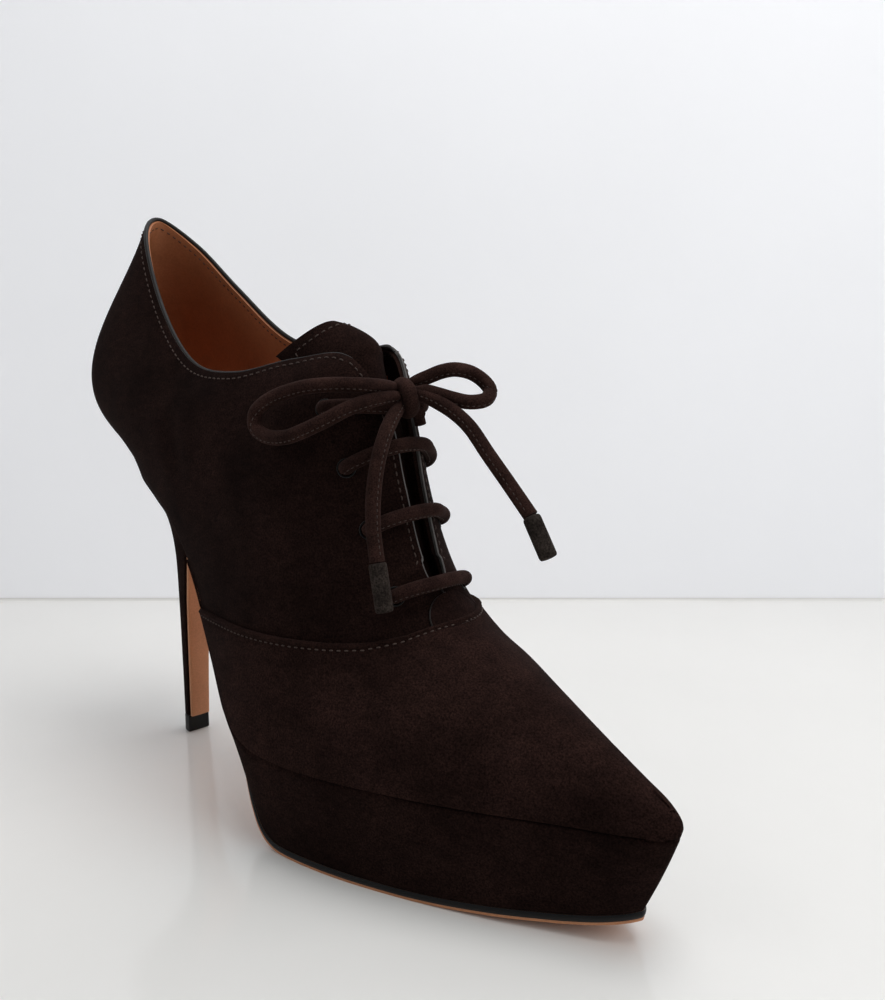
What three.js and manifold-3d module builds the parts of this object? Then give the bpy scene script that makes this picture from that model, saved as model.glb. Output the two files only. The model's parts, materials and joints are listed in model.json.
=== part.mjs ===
// Lace up heel, right shoe: a suede platform shoe on a slim heel, as separate solid pieces.
// Millimetres, +X to the toe, +Y to the wearer's left (the inner side), +Z up.
// The origin is on the floor, under the middle of the forefoot's flat spot.
import * as THREE from "three";
import { mergeVertices } from "three/addons/utils/BufferGeometryUtils.js";
import Module from "manifold-3d";

const wasm = await Module();
wasm.setup();

// Driving sizes of the last
const shoeLength = 247;
const ballWidth = 80;
const platformHeight = 28.8;
const seatHeight = 112;
const instepHeight = 115;

// Sizes of the materials and small parts
const wall = 2.2;
const vampStep = 1.1;
const gap = 0.3;
const soleThickness = 2.2;
const insoleThickness = 2.4;
const platformLip = 0.25;
const tongueThickness = 1.8;
const tabThickness = 1;
const tabRadius = 9.5;
const breastThickness = 1.3;
const liftHeight = 6.2;
const throatWidth = 7;
const laceDiameter = 4.1;
const tipDiameter = 4.9;
const eyeletDiameter = 4.8;
const knotRadii = { x: 4.2, y: 4.4, z: 6.4 };

// The origin, as a share of the shoe's length from the back of its counter
const originAt = 0.69;
const seatRise = seatHeight - platformHeight;
const alongLength = (share) => (share - originAt) * shoeLength;
const lengthShare = (x) => x / shoeLength + originAt;

// One row for each rib of the upper, from the toe round to the back. Both sides of the shoe share it.
// at, rise, half, shift: the foot line where the upper meets the sole
// topAt, top, topHalf, topShift, dip: the rib's upper end, at the ridge, the throat's edge or the collar
// low and high: the two points that bend the rib between its ends, with up, half and lean
// at, topAt and lean are shares of shoeLength, half and shift of ballWidth, rise of seatRise, top and dip
// of instepHeight, low and high up of the rib's own height, and topHalf of half the throat's width.
const ribColumns = [
  "at", "rise", "half", "shift", "topAt", "top", "topHalf", "topShift", "dip",
  "lowUp", "lowHalf", "lowLean", "highUp", "highHalf", "highLean",
];
const ribTable = {
  toe: [0.996, 0.021, 0, 0.024, 0.989, 0.043, 0, 0.024, 0, 0.4, 0, 0.01, 0.95, 0, 0.01],
  toeRound: [0.985, 0.02, 0.042, 0.029, 0.975, 0.065, 0, 0.024, 0, 0.5, 0.051, 0.006, 1, 0.028, 0.004],
  toeSide: [0.956, 0.016, 0.085, 0.028, 0.949, 0.098, 0, 0.024, 0, 0.55, 0.094, 0, 1, 0.047, 0],
  toeBox: [0.895, 0.01, 0.153, 0.024, 0.893, 0.161, 0, 0.024, 0, 0.6, 0.165, 0, 1, 0.088, 0],
  vampFront: [0.823, 0.007, 0.253, 0.024, 0.825, 0.229, 0, 0.024, 0, 0.62, 0.276, 0, 1, 0.141, 0],
  joint: [0.743, 0.005, 0.376, 0.049, 0.764, 0.291, 0, 0.018, 0, 0.62, 0.4, 0, 1, 0.176, 0],
  ball: [0.663, 0.005, 0.453, 0.047, 0.718, 0.354, 0, 0.012, 0, 0.6, 0.471, 0, 0.98, 0.188, 0],
  vampRear: [0.592, 0.007, 0.468, 0.018, 0.688, 0.493, 0.8, -0.01, 0, 0.52, 0.482, 0, 0.95, 0.176, -0.008],
  waistFront: [0.532, 0.027, 0.435, -0.029, 0.665, 0.651, 0.9, -0.02, 0, 0.46, 0.465, 0, 0.95, 0.188, -0.011],
  waist: [0.482, 0.095, 0.388, -0.053, 0.644, 0.777, 1.2, -0.024, 0, 0.42, 0.435, 0, 0.93, 0.224, -0.011],
  arch: [0.426, 0.265, 0.335, -0.053, 0.592, 0.81, 2.5, 0, 0.02, 0.4, 0.406, 0, 0.93, 0.294, 0],
  archRear: [0.355, 0.531, 0.3, -0.035, 0.518, 0.622, 4.3, 0, 0.029, 0.38, 0.382, 0, 0.85, 0.324, 0],
  seatFront: [0.284, 0.74, 0.294, -0.018, 0.427, 0.457, 6, 0, 0.049, 0.35, 0.376, 0, 0.75, 0.347, 0],
  seat: [0.208, 0.893, 0.288, -0.006, 0.32, 0.413, 5.6, 0, 0.082, 0.35, 0.376, 0, 0.7, 0.347, 0],
  seatRear: [0.147, 0.966, 0.239, 0, 0.225, 0.507, 4.7, 0, 0.065, 0.3, 0.385, -0.058, 0.7, 0.29, -0.014],
  counter: [0.096, 0.995, 0.141, 0, 0.149, 0.632, 3.2, 0, -0.012, 0.3, 0.33, -0.177, 0.7, 0.184, -0.034],
  back: [0.069, 1, 0, 0, 0.11, 0.712, 0, 0, 0, 0.3, 0, -0.19, 0.7, 0, -0.027],
};
const ribNames = Object.keys(ribTable);
const ribRows = Object.values(ribTable).map((row) =>
  Object.fromEntries(ribColumns.map((name, i) => [name, row[i]])),
);
const lastRib = ribRows.length - 1;
const ribIndex = (name) => ribNames.indexOf(name);

// The columns that change sign where a rib crosses to the shoe's other side
const sideColumns = new Set(["half", "lowHalf", "highHalf", "topHalf"]);

// A smooth curve through four neighbouring values, between the middle two
function smoothBetween(a, b, c, d, f) {
  return b + 0.5 * f * (c - a + f * (2 * a - 5 * b + 4 * c - d + f * (3 * b - a - 3 * c + d)));
}

function ribValue(name, place) {
  const mirror = sideColumns.has(name) ? -1 : 1;
  const value = (i) => {
    if (i < 0) return ribRows[-i][name] * mirror;
    if (i > lastRib) return ribRows[2 * lastRib - i][name] * mirror;
    return ribRows[i][name];
  };
  const i = Math.min(Math.floor(place), lastRib - 1);
  return smoothBetween(value(i - 1), value(i), value(i + 1), value(i + 2), place - i);
}

// A table's value at x, on a smooth curve, held at its ends
function tableAt(table, x, column = 1) {
  const last = table.length - 1;
  if (x <= table[0][0]) return table[0][column];
  if (x >= table[last][0]) return table[last][column];
  const i = table.findIndex((row) => row[0] > x) - 1;
  const row = (k) => table[Math.min(last, Math.max(0, k))][column];
  const f = (x - table[i][0]) / (table[i + 1][0] - table[i][0]);
  return smoothBetween(row(i - 1), row(i), row(i + 1), row(i + 2), f);
}

// The throat is closed as far as this place, then opens in a short round end
const throatStart = ribIndex("ball") + 0.52;
const throatRound = 0.4;

function topHalf(place) {
  if (place <= throatStart) return 0;
  const opened = Math.min(1, (place - throatStart) / throatRound);
  const narrow = (throatWidth / 2) * Math.sqrt(opened * (2 - opened));
  if (place <= ribIndex("vampRear")) return narrow;
  return narrow * ribValue("topHalf", place);
}

// A round trip of the shoe: turn 0 at the toe, 1 at the back by the outer side, 2 at the toe again
function placeOf(turn) {
  const wrapped = ((turn % 2) + 2) % 2;
  return wrapped <= 1
    ? { place: wrapped * lastRib, side: -1 }
    : { place: (2 - wrapped) * lastRib, side: 1 };
}
const outerTurn = (place) => place / lastRib;
const innerTurn = (place) => 2 - place / lastRib;

// A point of the last's skin: turn goes round the shoe, up goes from the foot line to the top edge
function lastPoint(turn, up) {
  const { place, side } = placeOf(turn);
  const v = (name) => ribValue(name, place);
  const footX = alongLength(v("at"));
  const footZ = platformHeight + v("rise") * seatRise;
  const topX = alongLength(v("topAt"));
  const topZ = footZ + (v("top") - (side < 0 ? v("dip") : 0)) * instepHeight;
  const shift = v("shift") * ballWidth;
  const topShift = v("topShift") * ballWidth;
  const bend = (name) => {
    const share = v(name + "Up");
    return new THREE.Vector3(
      footX + (topX - footX) * share + v(name + "Lean") * shoeLength,
      shift * (1 - share) + topShift * share + side * v(name + "Half") * ballWidth,
      footZ + (topZ - footZ) * share,
    );
  };
  const rib = new THREE.CubicBezierCurve3(
    new THREE.Vector3(footX, shift + side * v("half") * ballWidth, footZ),
    bend("low"),
    bend("high"),
    new THREE.Vector3(topX, topShift + side * topHalf(place), topZ),
  );
  return rib.getPoint(up);
}

function lastNormal(turn, up) {
  const step = 0.002;
  const { place } = placeOf(turn);
  if (up > 0.999 && place <= throatStart) {
    const ahead = lastPoint(Math.max(0, outerTurn(place) - step), 1);
    const behind = lastPoint(outerTurn(place) + step, 1);
    return new THREE.Vector3(behind.z - ahead.z, 0, ahead.x - behind.x).normalize();
  }
  const along = lastPoint(turn + step, up).sub(lastPoint(turn - step, up));
  const rise = lastPoint(turn, Math.min(1, up + 0.01)).sub(lastPoint(turn, Math.max(0, up - 0.01)));
  return rise.cross(along).normalize();
}

// A point at a height over the last's skin, moved level at the foot line
function skinPoint(turn, up, height) {
  const normal = lastNormal(turn, up);
  if (up < 0.001) normal.setZ(0).normalize();
  return lastPoint(turn, up).addScaledVector(normal, height);
}

// A point inside the wall. Where the toe is too slim for both sides' walls, they meet near its middle.
const leastHalf = 0.25;
function insidePoint(turn, up, depth) {
  const { place, side } = placeOf(turn);
  const point = skinPoint(turn, up, -depth);
  if (place === 0 || place === lastRib) return point;
  const middle = (ribValue("shift", place) * (1 - up) + ribValue("topShift", place) * up) * ballWidth;
  const half = Math.max(side * (point.y - middle), leastHalf * (1 - up));
  return point.setY(middle + side * half);
}

// Triangles of a grid of points, closed on itself across its columns
function gridTriangles(rows, columns, index) {
  const triangles = [];
  for (let i = 0; i < rows - 1; i++)
    for (let j = 0; j < columns; j++) {
      const k = (j + 1) % columns;
      triangles.push(index(i, j), index(i, k), index(i + 1, k));
      triangles.push(index(i, j), index(i + 1, k), index(i + 1, j));
    }
  return triangles;
}

// A closed mesh that faces out, with equal points merged and triangles without area left out
function closedGeometry(points, triangles) {
  const raw = new THREE.BufferGeometry();
  const numbers = points.flatMap((p) => [p.x, p.y, p.z]);
  raw.setAttribute("position", new THREE.Float32BufferAttribute(numbers, 3));
  raw.setIndex(triangles);
  const merged = mergeVertices(raw, 1e-3);
  const index = merged.index.array;
  const kept = [];
  for (let i = 0; i < index.length; i += 3) {
    const [a, b, c] = [index[i], index[i + 1], index[i + 2]];
    if (a !== b && b !== c && a !== c) kept.push(a, b, c);
  }
  const corner = (i) => new THREE.Vector3().fromBufferAttribute(merged.getAttribute("position"), kept[i]);
  let volume = 0;
  for (let i = 0; i < kept.length; i += 3) volume += corner(i).dot(corner(i + 1).cross(corner(i + 2)));
  merged.setIndex(volume < 0 ? kept.reverse() : kept);
  return merged;
}

const near = (a, b) => a.distanceTo(b) < 1e-3;

// A solid skinned over closed sections of equally many points. An end that has shrunk to a line needs no cap.
function loft(sections) {
  const columns = sections[0].length;
  const points = sections.flat();
  const index = (i, j) => i * columns + j;
  const triangles = gridTriangles(sections.length, columns, index);
  for (const end of [0, sections.length - 1]) {
    const section = sections[end];
    if (near(section[0], section[1]) && near(section[columns - 1], section[columns - 2])) continue;
    const middle = points.length;
    points.push(section.reduce((sum, p) => sum.add(p), new THREE.Vector3()).divideScalar(columns));
    for (let j = 0; j < columns; j++) {
      const pair = [index(end, j), index(end, (j + 1) % columns)];
      if (end === 0) pair.reverse();
      triangles.push(middle, ...pair);
    }
  }
  return closedGeometry(points, triangles);
}

// A sheet of even thickness under a surface that pointAt gives from across (-1 to 1) and up (0 to 1)
function sheet(pointAt, acrossCount, upCount, thickness) {
  const normalAt = (across, up) => {
    const step = 0.01;
    const side = pointAt(across + step, up).sub(pointAt(across - step, up));
    const rise = pointAt(across, up + step).sub(pointAt(across, up - step));
    return side.cross(rise).normalize();
  };
  const sections = [];
  for (let i = 0; i <= upCount; i++) {
    const up = i / upCount;
    const front = [];
    const back = [];
    for (let j = 0; j <= acrossCount; j++) {
      const across = (2 * j) / acrossCount - 1;
      const point = pointAt(across, up);
      front.push(point);
      back.unshift(point.clone().addScaledVector(normalAt(across * 0.98, up * 0.96 + 0.02), -thickness));
    }
    sections.push([...front, ...back]);
  }
  return loft(sections);
}

// three.js geometry to a solid for cutting, and back
function toSolid(geometry) {
  const plain = new THREE.BufferGeometry();
  plain.setAttribute("position", geometry.getAttribute("position"));
  plain.setIndex(geometry.index);
  const merged = mergeVertices(plain, 1e-3);
  return new wasm.Manifold(
    new wasm.Mesh({
      numProp: 3,
      vertProperties: merged.getAttribute("position").array,
      triVerts: new Uint32Array(merged.index.array),
    }),
  );
}

function toGeometry(solid) {
  const mesh = solid.getMesh();
  const geometry = new THREE.BufferGeometry();
  geometry.setAttribute("position", new THREE.BufferAttribute(mesh.vertProperties, 3));
  geometry.setIndex(new THREE.BufferAttribute(mesh.triVerts, 1));
  return geometry;
}

// Places from one to another, both included
function placesBetween(from, to, step) {
  const count = Math.max(1, Math.round((to - from) / step));
  return Array.from({ length: count + 1 }, (_, i) => from + ((to - from) * i) / count);
}

// Colours of the finishes
const finish = {
  suede: new THREE.MeshStandardMaterial({ color: 0x2e201c, roughness: 0.95 }),
  lining: new THREE.MeshStandardMaterial({ color: 0x7a4a30, roughness: 0.7 }),
  sole: new THREE.MeshStandardMaterial({ color: 0xb98a68, roughness: 0.55 }),
  lift: new THREE.MeshStandardMaterial({ color: 0x171310, roughness: 0.6 }),
  lace: new THREE.MeshStandardMaterial({ color: 0x261b18, roughness: 0.9 }),
};

const shoe = new THREE.Group();

function addPiece(name, geometry, material) {
  const mesh = new THREE.Mesh(geometry, material);
  mesh.name = name;
  shoe.add(mesh);
}

// Upper: one hollow shell, with a step in its wall where the vamp lies over the quarters

// Height of the vamp's rear edge over the platform, on the outer and the inner side.
// The first column is a share of shoeLength, the others of instepHeight.
const seamTable = [
  [0.3, 0.3, 0.355],
  [0.5, 0.307, 0.355],
  [0.6, 0.312, 0.352],
  [0.65, 0.315, 0.351],
  [0.68, 0.321, 0.351],
  [0.703, 0.333, 0.352],
  [0.714, 0.346, 0.352],
  [0.722, 0.353, 0.353],
  [0.74, 0.355, 0.355],
];

const seamHeight = (x, side) =>
  platformHeight + tableAt(seamTable, lengthShare(x), side < 0 ? 1 : 2) * instepHeight;

// How far up a rib the vamp's rear edge crosses it: 0 behind the seam, 1 ahead of it
function seamUp(turn) {
  const over = (up) => {
    const p = lastPoint(turn, up);
    return p.z - seamHeight(p.x, placeOf(turn).side);
  };
  if (over(0) >= 0) return 0;
  if (over(1) <= 0) return 1;
  let [low, high] = [0, 1];
  for (let i = 0; i < 30; i++) {
    const middle = (low + high) / 2;
    if (over(middle) > 0) high = middle;
    else low = middle;
  }
  return low;
}

const vampRows = 7;
const quarterRows = 8;

// The rows of mesh points up a rib, each with its height over the skin
function upperRows(turn) {
  const seam = seamUp(turn);
  const rows = [];
  for (let i = 0; i <= vampRows; i++) rows.push([(seam * i) / vampRows, seam > 0 ? vampStep : 0]);
  for (let i = 0; i <= quarterRows; i++)
    rows.push([seam + ((1 - seam) * i) / quarterRows, seam < 1 ? 0 : vampStep]);
  return rows;
}

// The place where the vamp's edge crosses the ridge
function seamApex() {
  let [low, high] = [ribIndex("joint"), ribIndex("vampRear")];
  for (let i = 0; i < 30; i++) {
    const middle = (low + high) / 2;
    const ridge = lastPoint(outerTurn(middle), 1);
    if (ridge.z > seamHeight(ridge.x, -1)) high = middle;
    else low = middle;
  }
  return low;
}
const apexPlace = seamApex();
const seamCrest = lastPoint(outerTurn(apexPlace), 1).z;

// The places from toe to back at which the mesh has a rib, close together at the vamp's edge on the ridge
const meshPlaces = [
  ...placesBetween(0, ribIndex("ball") - 0.5, 0.5),
  apexPlace - 0.03,
  apexPlace + 0.03,
  (apexPlace + ribIndex("ball") + 0.2) / 2,
  ...placesBetween(ribIndex("ball") + 0.2, ribIndex("vampRear"), 0.2).slice(0, -1),
  ...placesBetween(ribIndex("vampRear"), ribIndex("waist"), 0.5).slice(0, -1),
  ...placesBetween(ribIndex("waist"), lastRib, 1 / 3),
];

function upperShell() {
  const inner = meshPlaces.slice(1, -1).map(innerTurn).reverse();
  const turns = [...meshPlaces.map(outerTurn), ...inner];
  const outside = [];
  const inside = [];
  for (const turn of turns)
    for (const [up, height] of upperRows(turn)) {
      outside.push(skinPoint(turn, up, height));
      inside.push(insidePoint(turn, up, wall));
    }
  const rows = vampRows + quarterRows + 2;
  const skin = (i, j) => j * rows + i;
  const lining = (i, j) => outside.length + j * rows + i;
  const triangles = gridTriangles(rows, turns.length, skin);
  triangles.push(...gridTriangles(rows, turns.length, lining).reverse());
  const joined = (turn) => placeOf(turn).place < lastRib - 1 && topHalf(placeOf(turn).place) === 0;
  const top = rows - 1;
  for (let j = 0; j < turns.length; j++) {
    const k = (j + 1) % turns.length;
    triangles.push(skin(0, j), lining(0, k), skin(0, k));
    triangles.push(skin(0, j), lining(0, j), lining(0, k));
    if (joined(turns[j]) && joined(turns[k])) continue;
    triangles.push(skin(top, j), skin(top, k), lining(top, k));
    triangles.push(skin(top, j), lining(top, k), lining(top, j));
  }
  return closedGeometry([...outside, ...inside], triangles);
}

// Rows of eyelets: the place round the shoe, and how far up its rib each one is punched
const eyeletRows = [
  { place: 9.7, up: 0.76 },
  { place: 8.85, up: 0.735 },
  { place: 7.85, up: 0.745 },
  { place: 6.78, up: 0.755 },
];
const sideTurns = { outer: outerTurn, inner: innerTurn };

function punch(turn, up) {
  const geometry = new THREE.CylinderGeometry(eyeletDiameter / 2, eyeletDiameter / 2, 4 * wall, 8);
  const turned = new THREE.Quaternion().setFromUnitVectors(new THREE.Vector3(0, 1, 0), lastNormal(turn, up));
  geometry.applyQuaternion(turned);
  const centre = skinPoint(turn, up, -wall / 2);
  geometry.translate(centre.x, centre.y, centre.z);
  geometry.deleteAttribute("normal");
  geometry.deleteAttribute("uv");
  return toSolid(geometry);
}

let upper = toSolid(upperShell());
for (const { place, up } of eyeletRows)
  for (const turnAt of Object.values(sideTurns)) upper = upper.subtract(punch(turnAt(place), up));
addPiece("upper", toGeometry(upper), finish.suede);

// Bottom of the shoe

// The underside from the waist to the toe: share of shoeLength, share of platformHeight
const groundTable = [
  [0.476, 1.0],
  [0.487, 0.81],
  [0.497, 0.63],
  [0.506, 0.47],
  [0.516, 0.32],
  [0.529, 0.17],
  [0.544, 0.07],
  [0.562, 0.015],
  [0.583, 0],
  [0.734, 0],
  [0.78, 0.012],
  [0.822, 0.037],
  [0.87, 0.075],
  [0.912, 0.125],
  [0.973, 0.235],
  [1.0, 0.3],
];
const flatFrom = 0.583;
const flatTo = 0.734;

// How much narrower the sole is than the foot line, each side: share of shoeLength, share of ballWidth
const insetTable = [
  [0.2, 0.06],
  [0.36, 0.08],
  [0.44, 0.07],
  [0.5, 0.045],
  [0.6, 0.03],
  [0.75, 0.02],
  [0.9, 0.01],
  [1.0, 0.006],
];

// The toe's front leans in to the ground: how far, and from where, as shares of shoeLength
const undercut = { depth: 0.032, from: 0.8 };
const breastAt = 0.272;

function placeAtShare(share) {
  let [low, high] = [0, lastRib];
  for (let i = 0; i < 40; i++) {
    const middle = (low + high) / 2;
    if (ribValue("at", middle) > share) low = middle;
    else high = middle;
  }
  return low;
}

const footZ = (share) => platformHeight + ribValue("rise", placeAtShare(share)) * seatRise;

// A level's height, thickened square to its own slope
function squareTo(heightAt, share, thickness) {
  const step = 0.004;
  const slope = (heightAt(share + step) - heightAt(share - step)) / (2 * step * shoeLength);
  return thickness * Math.hypot(1, slope);
}

const archTop = (share) => footZ(share) - gap;
const archEnd = 0.445;

function underside(share) {
  const ground = tableAt(groundTable, share) * platformHeight;
  if (share >= flatFrom && share <= flatTo) return 0;
  if (share >= groundTable[0][0]) return Math.max(0, ground);
  const arch = archTop(share) - squareTo(archTop, share, soleThickness);
  if (share <= archEnd) return arch;
  const f = (share - archEnd) / (groundTable[0][0] - archEnd);
  return arch * (1 - f) + groundTable[0][1] * platformHeight * f;
}

const soleTop = (share) =>
  Math.min(underside(share) + squareTo(underside, share, soleThickness), archTop(share));

// The two edges of the sole at a place, seen from above
function soleEdges(place) {
  const outer = skinPoint(outerTurn(place), 0, 0);
  const inner = skinPoint(innerTurn(place), 0, 0);
  const share = lengthShare((outer.x + inner.x) / 2);
  const under = Math.max(0, (share - undercut.from) / (1 - undercut.from));
  const x = alongLength(share - undercut.depth * under ** 3);
  const half = (inner.y - outer.y) / 2;
  const inset = Math.min(tableAt(insetTable, share) * ballWidth, half / 3);
  return { x, outer: outer.y + inset, inner: inner.y - inset };
}

function soleSection(place) {
  const { x, outer, inner } = soleEdges(place);
  const share = lengthShare(x);
  const point = (y, z) => new THREE.Vector3(x, y, z);
  const [low, high] = [underside(share), soleTop(share)];
  return [point(outer, low), point(inner, low), point(inner, high), point(outer, high)];
}

const breastPlace = placeAtShare(breastAt);
const outsolePlaces = [...meshPlaces.filter((place) => place < breastPlace - 0.2), breastPlace];
addPiece("outsole", loft(outsolePlaces.map(soleSection)), finish.sole);

// The suede platform fills the room between the foot line and the sole, and tapers out at the waist
const platformEnd = 9.75;
function platformSection(place) {
  const { x, outer, inner } = soleEdges(place);
  const low = soleTop(lengthShare(x)) + gap;
  const edge = (turn) => {
    const point = skinPoint(turn, 0, vampStep + platformLip);
    return point.setZ(point.z - gap);
  };
  return [
    new THREE.Vector3(x, outer, low),
    new THREE.Vector3(x, inner, low),
    edge(innerTurn(place)),
    edge(outerTurn(place)),
  ];
}
const platformPlaces = meshPlaces.filter((place) => place <= platformEnd);
addPiece("platform", loft(platformPlaces.map(platformSection)), finish.suede);

// The insole closes the upper's bottom from inside, its edge square to the wall as far as its top
function insoleEdge(turn, rise) {
  const inside = (up) => insidePoint(turn, up, wall + gap);
  const foot = inside(0);
  let [low, high] = [0.001, 0.5];
  for (let i = 0; i < 30; i++) {
    const middle = (low + high) / 2;
    if (inside(middle).z > foot.z + rise) high = middle;
    else low = middle;
  }
  return inside(low).setZ(foot.z + rise);
}

function insoleSection(place) {
  return [
    insidePoint(outerTurn(place), 0, wall + gap),
    insidePoint(innerTurn(place), 0, wall + gap),
    insoleEdge(innerTurn(place), insoleThickness),
    insoleEdge(outerTurn(place), insoleThickness),
  ];
}
const insolePlaces = meshPlaces.filter((place) => place >= 1 && place < lastRib - 0.1);
addPiece("insole", loft(insolePlaces.map(insoleSection)), finish.lining);

// Heel: from the slim tip up to the cup under the seat

// Rows from the tip up: backAt and frontAt are shares of shoeLength, backUp and frontUp of seatHeight,
// half of ballWidth
const heelColumns = ["backAt", "backUp", "frontAt", "frontUp", "half"];
const heelTable = [
  [0.147, 0.252, 0.1745, 0.252, 0.056],
  [0.145, 0.462, 0.179, 0.458, 0.062],
  [0.14, 0.639, 0.1905, 0.618, 0.074],
  [0.128, 0.765, 0.2095, 0.71, 0.112],
  [0.109, 0.849, 0.2324, 0.765, 0.176],
  [0.089, 0.929, 0.2533, 0.803, 0.236],
];
const heelTip = { backAt: 0.148, frontAt: 0.172, half: 0.052 };
const heelRows = heelTable.map((row) =>
  Object.fromEntries(heelColumns.map((name, i) => [name, row[i]])),
);
const heelSteps = 16;

// A section with a flat front and a round back
function heelSection(backX, backZ, frontX, frontZ, half) {
  const section = [];
  for (let i = 0; i <= heelSteps; i++) {
    const angle = (Math.PI * i) / heelSteps;
    const depth = Math.sin(angle) ** 0.9;
    const across = -Math.sign(Math.cos(angle)) * Math.abs(Math.cos(angle)) ** 0.8;
    section.push(
      new THREE.Vector3(
        frontX + (backX - frontX) * depth,
        across * half,
        frontZ + (backZ - frontZ) * depth,
      ),
    );
  }
  return section;
}

function heelRowSection(row) {
  return heelSection(
    alongLength(row.backAt),
    row.backUp * seatHeight,
    alongLength(row.frontAt),
    row.frontUp * seatHeight,
    row.half * ballWidth,
  );
}

function tipSection(z, grow) {
  return heelSection(
    alongLength(heelTip.backAt) - grow,
    z,
    alongLength(heelTip.frontAt) + grow,
    z,
    heelTip.half * ballWidth + grow,
  );
}

// The cup's rim follows the foot line round the back
function heelRim() {
  const rim = [];
  for (let i = 0; i <= heelSteps; i++) {
    const f = (2 * i) / heelSteps;
    const place = breastPlace + (lastRib - breastPlace) * (1 - Math.abs(1 - f) ** 1.3);
    const point = skinPoint(f <= 1 ? outerTurn(place) : innerTurn(place), 0, 0);
    rim.push(point.setZ(point.z - gap));
  }
  return rim;
}
const heelSections = [tipSection(liftHeight + gap, 0), ...heelRows.map(heelRowSection), heelRim()];
addPiece("heel", loft(heelSections), finish.suede);

const liftGrow = 0.15;
addPiece("heel_lift", loft([tipSection(0, liftGrow), tipSection(liftHeight, liftGrow)]), finish.lift);

// The sole leather goes on down the heel's front
const breastInset = 0.4;
function breastSections() {
  const front = [
    { x: alongLength(heelTip.frontAt), z: liftHeight + gap, half: heelTip.half * ballWidth },
    ...heelRows.map((row) => ({
      x: alongLength(row.frontAt),
      z: row.frontUp * seatHeight,
      half: row.half * ballWidth,
    })),
  ];
  return front.map(({ x, z, half }, i) => {
    const before = front[Math.max(0, i - 1)];
    const after = front[Math.min(front.length - 1, i + 1)];
    const run = new THREE.Vector3(after.x - before.x, 0, after.z - before.z).normalize();
    const out = i === 0 ? new THREE.Vector3(1, 0, 0) : new THREE.Vector3(run.z, 0, -run.x);
    const at = (height, y) => new THREE.Vector3(x, y, z).addScaledVector(out, height);
    const [low, high] = [1.5 * gap, 1.5 * gap + breastThickness];
    const edge = half - breastInset;
    return [at(low, -edge), at(low, edge), at(high, edge), at(high, -edge)];
  });
}
addPiece("heel_breast", loft(breastSections()), finish.sole);

// Tongue: a curved sheet under the throat that stands over the collar's front
// Rows from the bottom up: up is a share of the sheet's own length, at of shoeLength, rise of instepHeight
// over the platform, half and shift of ballWidth. wrap and drop say how far the sides lie back and down,
// as shares of shoeLength and instepHeight.
const tongueColumns = ["up", "at", "rise", "half", "shift", "wrap", "drop"];
const tongueTable = [
  [0, 0.689, 0.393, 0.15, -0.02, 0.013, 0.017],
  [0.11, 0.674, 0.48, 0.163, -0.02, 0.022, 0.026],
  [0.22, 0.665, 0.567, 0.175, -0.022, 0.03, 0.035],
  [0.34, 0.654, 0.654, 0.188, -0.024, 0.04, 0.044],
  [0.46, 0.644, 0.741, 0.2, -0.026, 0.046, 0.061],
  [0.58, 0.636, 0.828, 0.206, -0.024, 0.051, 0.078],
  [0.7, 0.62, 0.897, 0.206, -0.02, 0.06, 0.096],
  [0.8, 0.603, 0.963, 0.2, -0.005, 0.08, 0.104],
  [0.88, 0.583, 1.025, 0.175, 0.012, 0.064, 0.104],
  [0.95, 0.552, 1.061, 0.165, 0, 0.056, 0.1],
  [1, 0.528, 1.077, 0.155, -0.024, 0.05, 0.092],
];

function tonguePoint(across, up) {
  const v = (name) => tableAt(tongueTable, up, tongueColumns.indexOf(name));
  return new THREE.Vector3(
    alongLength(v("at") - v("wrap") * across ** 2),
    (v("shift") + across * v("half")) * ballWidth,
    platformHeight + (v("rise") - v("drop") * across ** 2) * instepHeight,
  );
}
addPiece("tongue", sheet(tonguePoint, 10, 16, tongueThickness), finish.suede);

// Throat tab: a half-round stay over the throat's lower end, against the vamp's edge

// The skin's point at a height z and a distance across from the ridge or the throat's middle
function frontPoint(z, across, height) {
  const turnAt = across < 0 ? outerTurn : innerTurn;
  const middleY = (place) => (lastPoint(outerTurn(place), 1).y + lastPoint(innerTurn(place), 1).y) / 2;
  const upAt = (place) => {
    let [low, high] = [0.4, 1];
    for (let i = 0; i < 18; i++) {
      const middle = (low + high) / 2;
      if (Math.abs(lastPoint(turnAt(place), middle).y - middleY(place)) > Math.abs(across)) low = middle;
      else high = middle;
    }
    return high;
  };
  let [low, high] = [ribIndex("joint"), ribIndex("arch")];
  for (let i = 0; i < 18; i++) {
    const middle = (low + high) / 2;
    if (lastPoint(turnAt(middle), upAt(middle)).z > z) high = middle;
    else low = middle;
  }
  return skinPoint(turnAt(low), upAt(low), height);
}

const tabHeight = 6.6;
const tabShift = 1.2;
const tabRoundness = 0.96;

function tabPoint(across, up) {
  const side = across * tabRadius * Math.sqrt(1 - (tabRoundness * up) ** 2) + tabShift;
  const foot = seamHeight(frontPoint(seamCrest, side, 0).x, side) + 2 * gap;
  return frontPoint(foot + up * tabHeight, side, gap + tabThickness);
}
addPiece("throat_tab", sheet(tabPoint, 6, 4, tabThickness), finish.suede);

// Laces: bars across the throat, a knot, and the bow's loops and ends as round cords

const cordSides = 8;

// A tube along a smooth curve through the points
function cord(points, diameter, steps) {
  const ring = Array.from({ length: cordSides }, (_, i) => {
    const angle = (2 * Math.PI * i) / cordSides;
    return new THREE.Vector2(Math.cos(angle), Math.sin(angle)).multiplyScalar(diameter / 2);
  });
  const extrudePath = new THREE.CatmullRomCurve3(points);
  return new THREE.ExtrudeGeometry(new THREE.Shape(ring), { steps, extrudePath, bevelEnabled: false });
}

const laceHeight = laceDiameter / 2 + 2 * gap;

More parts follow.
